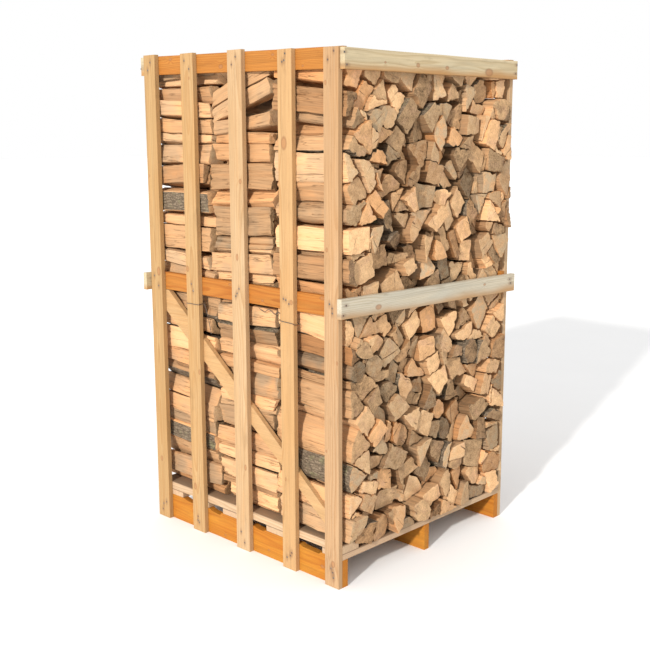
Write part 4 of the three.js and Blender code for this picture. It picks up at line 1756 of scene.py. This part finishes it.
    def prop(self) -> None:
        """Swaps the top front logs of the middle row for a few that lean, as thrown on last."""
        rng = np.random.default_rng(self.seed + 1)
        group = self.columns
        kept = []
        for shape in self.logs[group]:
            spot = (shape.near[0] + shape.far[0]) / 2
            if not (spot[0] < self.propped_depth and spot[1] > self.propped_from):
                kept.append(shape)
        splitter = Splitter(rng)
        across = self.propped_across
        start, stop = self.propped_ends
        for number, (left, right) in enumerate(self.propped):
            lump = splitter.lump(*self.propped_size)
            near, far = np.array([across, left]), np.array([across + 0.004, right])
            ends = (start + rng.uniform(-0.01, 0.01), stop + rng.uniform(-0.015, 0.015))
            turn = float(rng.uniform(-0.15, 0.15))
            kept.append(LogShape(lump, (near, turn), (far, turn), ends, Sight.SIDE, 5000 + number))
        self.logs[group] = kept

    def build(self, sides: bpy.types.Material, ends: bpy.types.Material) -> None:
        """Meshes every column of every row.

        Args:
            sides: The finish of the logs' long faces.
            ends: The finish of their sawn ends.
        """
        for group, shapes in enumerate(self.logs):
            row, column = divmod(group, self.columns)
            mesh = LogMesh()
            grid = math.ceil(math.sqrt(len(shapes)))
            for number, shape in enumerate(shapes):
                line, place = divmod(number, grid)
                mesh.add(shape, (place / grid, line / grid, 1.0 / grid))
            name = f"logs_row_{row + 1}_part_{column + 1}"
            piece = mesh.build(name, (sides, ends))
            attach(piece, BODY)
            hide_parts(f"log_row_{row + 1}_lower", f"log_row_{row + 1}_upper")
            triangles = sum(p.loop_total - 2 for p in piece.data.polygons)
            log.info("%s: %d logs, %d triangles", name, len(shapes), triangles)


# ---------------------------------------------------------------- the crate


@dataclass
class NailHeads:
    """Round nail heads, driven almost flush.

    Attributes:
        radius: Of a head.
        proud: How far its middle stands out.
        spread: How far the nails of one joint stand apart.
        corners: How many points go round a head.
        joints: Every board's nails.
        outward: The way out of each board's face.
    """

    radius: float = 0.0040
    proud: float = 0.0011
    spread: float = 0.015
    corners: int = 12
    joints: dict[str, list[Vector]] = field(default_factory=dict)
    outward: dict[str, Vector] = field(default_factory=dict)

    def plan(self) -> None:
        """Works out every joint's nails from the boards' boxes."""
        rng = np.random.default_rng(77)
        for face, out in (("front", -1.0), ("back", 1.0)):
            levels = [self._line(f"{face}_{board}") for board in ("top_rail", "mid_rail", "runner")]
            for number in range(1, 6):
                name = f"{face}_slat_{number}"
                low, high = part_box(name)
                middle = (low + high) / 2
                y = low.y if out < 0 else high.y
                self.outward[name] = Vector((0.0, out, 0.0))
                self.joints[name] = []
                for start, end in levels:
                    share = (middle.x - start.x) / (end.x - start.x)
                    level = start.z + (end.z - start.z) * share
                    spot = Vector((middle.x, y, level))
                    self.joints[name] += self._joint(rng, spot, Vector((1.0, 0.0, 0.0)))
        for side, out in (("left", -1.0), ("right", 1.0)):
            for level in ("top", "mid"):
                name = f"{side}_{level}_board"
                low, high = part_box(name)
                slats = [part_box(f"{face}_slat_1") for face in ("front", "back")]
                x = low.x if out < 0 else high.x
                self.outward[name] = Vector((out, 0.0, 0.0))
                self.joints[name] = []
                for slat_low, slat_high in slats:
                    spot = Vector((x, (slat_low.y + slat_high.y) / 2, (low.z + high.z) / 2))
                    self.joints[name] += self._joint(rng, spot, Vector((0.0, 0.5, 0.0)))

    @staticmethod
    def _line(name: str) -> tuple[Vector, Vector]:
        """The middle line of a board that runs along X, which may slope."""
        low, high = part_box(name)
        points = np.array([v.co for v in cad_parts[name].data.vertices])
        ends = []
        for x in (low.x, high.x):
            near = points[np.abs(points[:, 0] - x) < 0.03]
            ends.append(Vector((x, 0.0, float((near[:, 2].min() + near[:, 2].max()) / 2))))
        return ends[0], ends[1]

    def _joint(self, rng: np.random.Generator, spot: Vector, across: Vector) -> list[Vector]:
        """Two or three nails round a spot."""
        count = int(rng.integers(2, 4))
        lean = float(rng.choice([-1.0, 1.0]))
        nails = []
        for number in range(count):
            share = number / (count - 1) * 2 - 1
            drift = rng.uniform(-0.008, 0.008, 2)
            aside = across * (share * lean * self.spread * 0.7 + float(drift[0]))
            nails.append(spot + aside + Vector((0.0, 0.0, share * self.spread + float(drift[1]))))
        return nails

    def build(self, steel: bpy.types.Material) -> None:
        """Makes one piece of all heads."""
        points, faces = [], []
        for name, nails in self.joints.items():
            out = self.outward[name]
            side = Vector((0.0, 0.0, 1.0)).cross(out)
            for nail in nails:
                start = len(points)
                for share, height in ((1.0, -0.0006), (0.92, 0.0005)):
                    for corner in range(self.corners):
                        angle = 2 * math.pi * corner / self.corners
                        flat = side * math.cos(angle) + Vector((0.0, 0.0, math.sin(angle)))
                        points.append(nail + flat * (self.radius * share) + out * height)
                points.append(nail + out * self.proud)
                for corner in range(self.corners):
                    after = (corner + 1) % self.corners
                    upper, next_upper = start + self.corners + corner, start + self.corners + after
                    faces.append((start + corner, start + after, next_upper, upper))
                    faces.append((upper, next_upper, start + 2 * self.corners))
        mesh = bpy.data.meshes.new("nail_heads")
        mesh.from_pydata([tuple(p) for p in points], [], faces)
        mesh.polygons.foreach_set("use_smooth", np.ones(len(mesh.polygons), bool))
        mesh.materials.append(steel)
        made = bpy.data.objects.new("nail_heads", mesh)
        bpy.context.scene.collection.objects.link(made)
        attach(made, BODY)
        log.info("nail_heads: %d nails", len(points) // (2 * self.corners + 1))


PALE = (0.97, 1.04, 1.2)
WARM = (0.84, 0.83, 0.76)
PINK = (0.88, 0.88, 0.98)
DEEP = (0.95, 0.9, 0.82)
PLAIN = (1.0, 1.0, 1.0)
WEATHERED = (0.97, 1.06, 1.3)


@dataclass
class Crate:
    """The crate's boards, dressed.

    Attributes:
        nails: The nails in their joints.
        slat: Finish of the slats and braces.
        rail: Finish of the rails.
        runner: Finish of the runners.
        beam: Finish of the cross-boards and sills.
        board: Finish of the boards across the open faces.
        tints: What single boards' colours are multiplied by.
    """

    nails: NailHeads = field(default_factory=NailHeads)
    slat: SawnPine = SawnPine((0.475, 0.30, 0.145), (0.375, 0.195, 0.072), (0.43, 0.24, 0.095))
    rail: SawnPine = SawnPine(
        (0.40, 0.162, 0.03), (0.29, 0.09, 0.013), (0.36, 0.115, 0.015), blush_share=0.7
    )
    runner: SawnPine = SawnPine(
        (0.41, 0.15, 0.014), (0.33, 0.092, 0.007), (0.45, 0.20, 0.024), blush_share=0.7
    )
    beam: SawnPine = SawnPine(
        (0.49, 0.345, 0.215), (0.38, 0.235, 0.125), (0.46, 0.30, 0.19), top_dirt_and_shade=0.6
    )
    board: SawnPine = SawnPine(
        (0.51, 0.415, 0.26),
        (0.38, 0.28, 0.15),
        (0.42, 0.37, 0.255),
        edge=(0.38, 0.185, 0.055),
        edge_share=0.85,
    )
    tints: dict[str, Colour] = field(
        default_factory=lambda: {
            "front_slat_1": WARM,
            "front_slat_2": (0.9, 0.9, 0.86),
            "front_slat_3": PALE,
            "front_slat_4": (0.97, 0.95, 0.92),
            "front_slat_5": PINK,
            "back_slat_1": WEATHERED,
            "back_slat_2": WARM,
            "back_slat_4": PALE,
            "back_slat_5": DEEP,
            "right_mid_board": WEATHERED,
            "front_mid_rail": (0.98, 0.92, 0.85),
        }
    )

    def dress(self) -> None:
        """Gives every board its own finish."""
        self.nails.plan()
        for seed, (name, node) in enumerate(sorted(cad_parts.items())):
            finish, grain = self._finish(name)
            if finish is None:
                continue
            low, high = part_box(name)
            nails = self.nails.joints.get(name, [])
            tint = self.tints.get(name, PLAIN)
            made = finish.material(name, Vector(low), Vector(high), grain, 300 + seed, tint, nails)
            self.cover(node, made)
            log.info("dressed %s", name)

    def _finish(self, name: str) -> tuple[SawnPine | None, Axis]:
        """Picks a board's finish and grain by its name."""
        if "slat" in name:
            return self.slat, Axis.Z
        if "rail" in name:
            return self.rail, Axis.X
        if "runner" in name:
            return self.runner, Axis.X
        if "cross_board" in name:
            return self.beam, Axis.Y
        if "sill" in name:
            return self.beam, Axis.X
        if "brace" in name:
            return self.slat, Axis.X
        if name.endswith("_board"):
            return self.board, Axis.Y
        return None, Axis.X

    @staticmethod
    def cover(node: bpy.types.Object, material: bpy.types.Material) -> None:
        """Puts a material in every slot of a frame node."""
        if not node.material_slots:
            node.data.materials.append(material)
        for slot in node.material_slots:
            slot.link = "OBJECT"
            slot.material = material


# ---------------------------------------------------------------- studio


@dataclass
class Studio:
    """Floor, light and camera."""

    lens: float = 55.77
    sensor: float = 36.0
    camera_place: Place = (3.0277, -3.1262, 1.7073)
    heading: float = 44.30
    dip: float = -10.77
    roll: float = -0.20
    floor_reach: float = 60.0
    floor_tones: tuple[Colour, Colour] = ((0.86, 0.86, 0.86), (0.9, 0.9, 0.9))
    key_energy: float = 3.7
    key_angle: float = 3.0
    key_colour: Colour = (1.0, 0.97, 0.92)
    key_way: Place = (-0.27, 0.90, -0.38)
    surround: float = 1.0

    def build(self) -> None:
        """Sets everything up."""
        self._camera()
        self._floor()
        self._lights()

    def _camera(self) -> None:
        """Stands the camera at eye level, in front of the corner between both open faces."""
        data = bpy.data.cameras.new("camera")
        data.lens = self.lens
        data.sensor_width = self.sensor
        camera = bpy.data.objects.new("camera", data)
        camera.location = self.camera_place
        turn = Euler((math.radians(90.0 + self.dip), 0.0, math.radians(self.heading)), "XYZ").to_matrix()
        spin = Euler((0.0, 0.0, math.radians(self.roll)), "XYZ").to_matrix()
        camera.rotation_euler = (turn @ spin).to_euler()
        bpy.context.scene.collection.objects.link(camera)
        bpy.context.scene.camera = camera

    def _floor(self) -> None:
        """Lays a wide pale floor."""
        mesh = bpy.data.meshes.new("floor")
        corners = [(x * self.floor_reach, y * self.floor_reach, 0.0) for x, y in SQUARE]
        mesh.from_pydata(corners, [], [(0, 1, 2, 3)])
        floor = bpy.data.objects.new("floor", mesh)
        paint = Painter("pale_floor")
        place = paint.node("ShaderNodeTexCoord", None, None, "Object")
        cloud = paint.noise(place, 1.3, 3.0)
        mesh.materials.append(paint.finish(paint.mix(cloud, *self.floor_tones), 0.9, None))
        bpy.context.scene.collection.objects.link(floor)

    def _lights(self) -> None:
        """A broad soft key from the front and an even pale surround."""
        key = bpy.data.lights.new("key", "SUN")
        key.energy = self.key_energy
        key.angle = math.radians(self.key_angle)
        key.color = self.key_colour
        lamp = bpy.data.objects.new("key", key)
        lamp.rotation_euler = Vector(self.key_way).to_track_quat("-Z", "Y").to_euler()
        bpy.context.scene.collection.objects.link(lamp)
        world = bpy.data.worlds.new("surround")
        world.use_nodes = True
        background = world.node_tree.nodes["Background"]
        background.inputs["Color"].default_value = (1.0, 1.0, 1.0, 1.0)
        background.inputs["Strength"].default_value = self.surround
        bpy.context.scene.world = world
        bpy.context.scene.view_settings.view_transform = "Standard"


# ---------------------------------------------------------------- main


def main() -> None:
    """Builds the crate's looks, in order."""
    logging.basicConfig(level=logging.INFO, format="%(name)s: %(message)s")
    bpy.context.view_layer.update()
    Studio().build()
    crate = Crate()
    crate.dress()
    wire = DarkSteel().material("tie_wire")
    crate.nails.build(wire)
    for name in ("wire_tie_1", "wire_tie_2"):
        crate.cover(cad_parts[name], wire)
    stack = LogStack()
    stack.pack()
    stack.prop()
    stack.build(SplitSides().material(), SawnEnd().material())


if __name__ == "__main__":
    main()
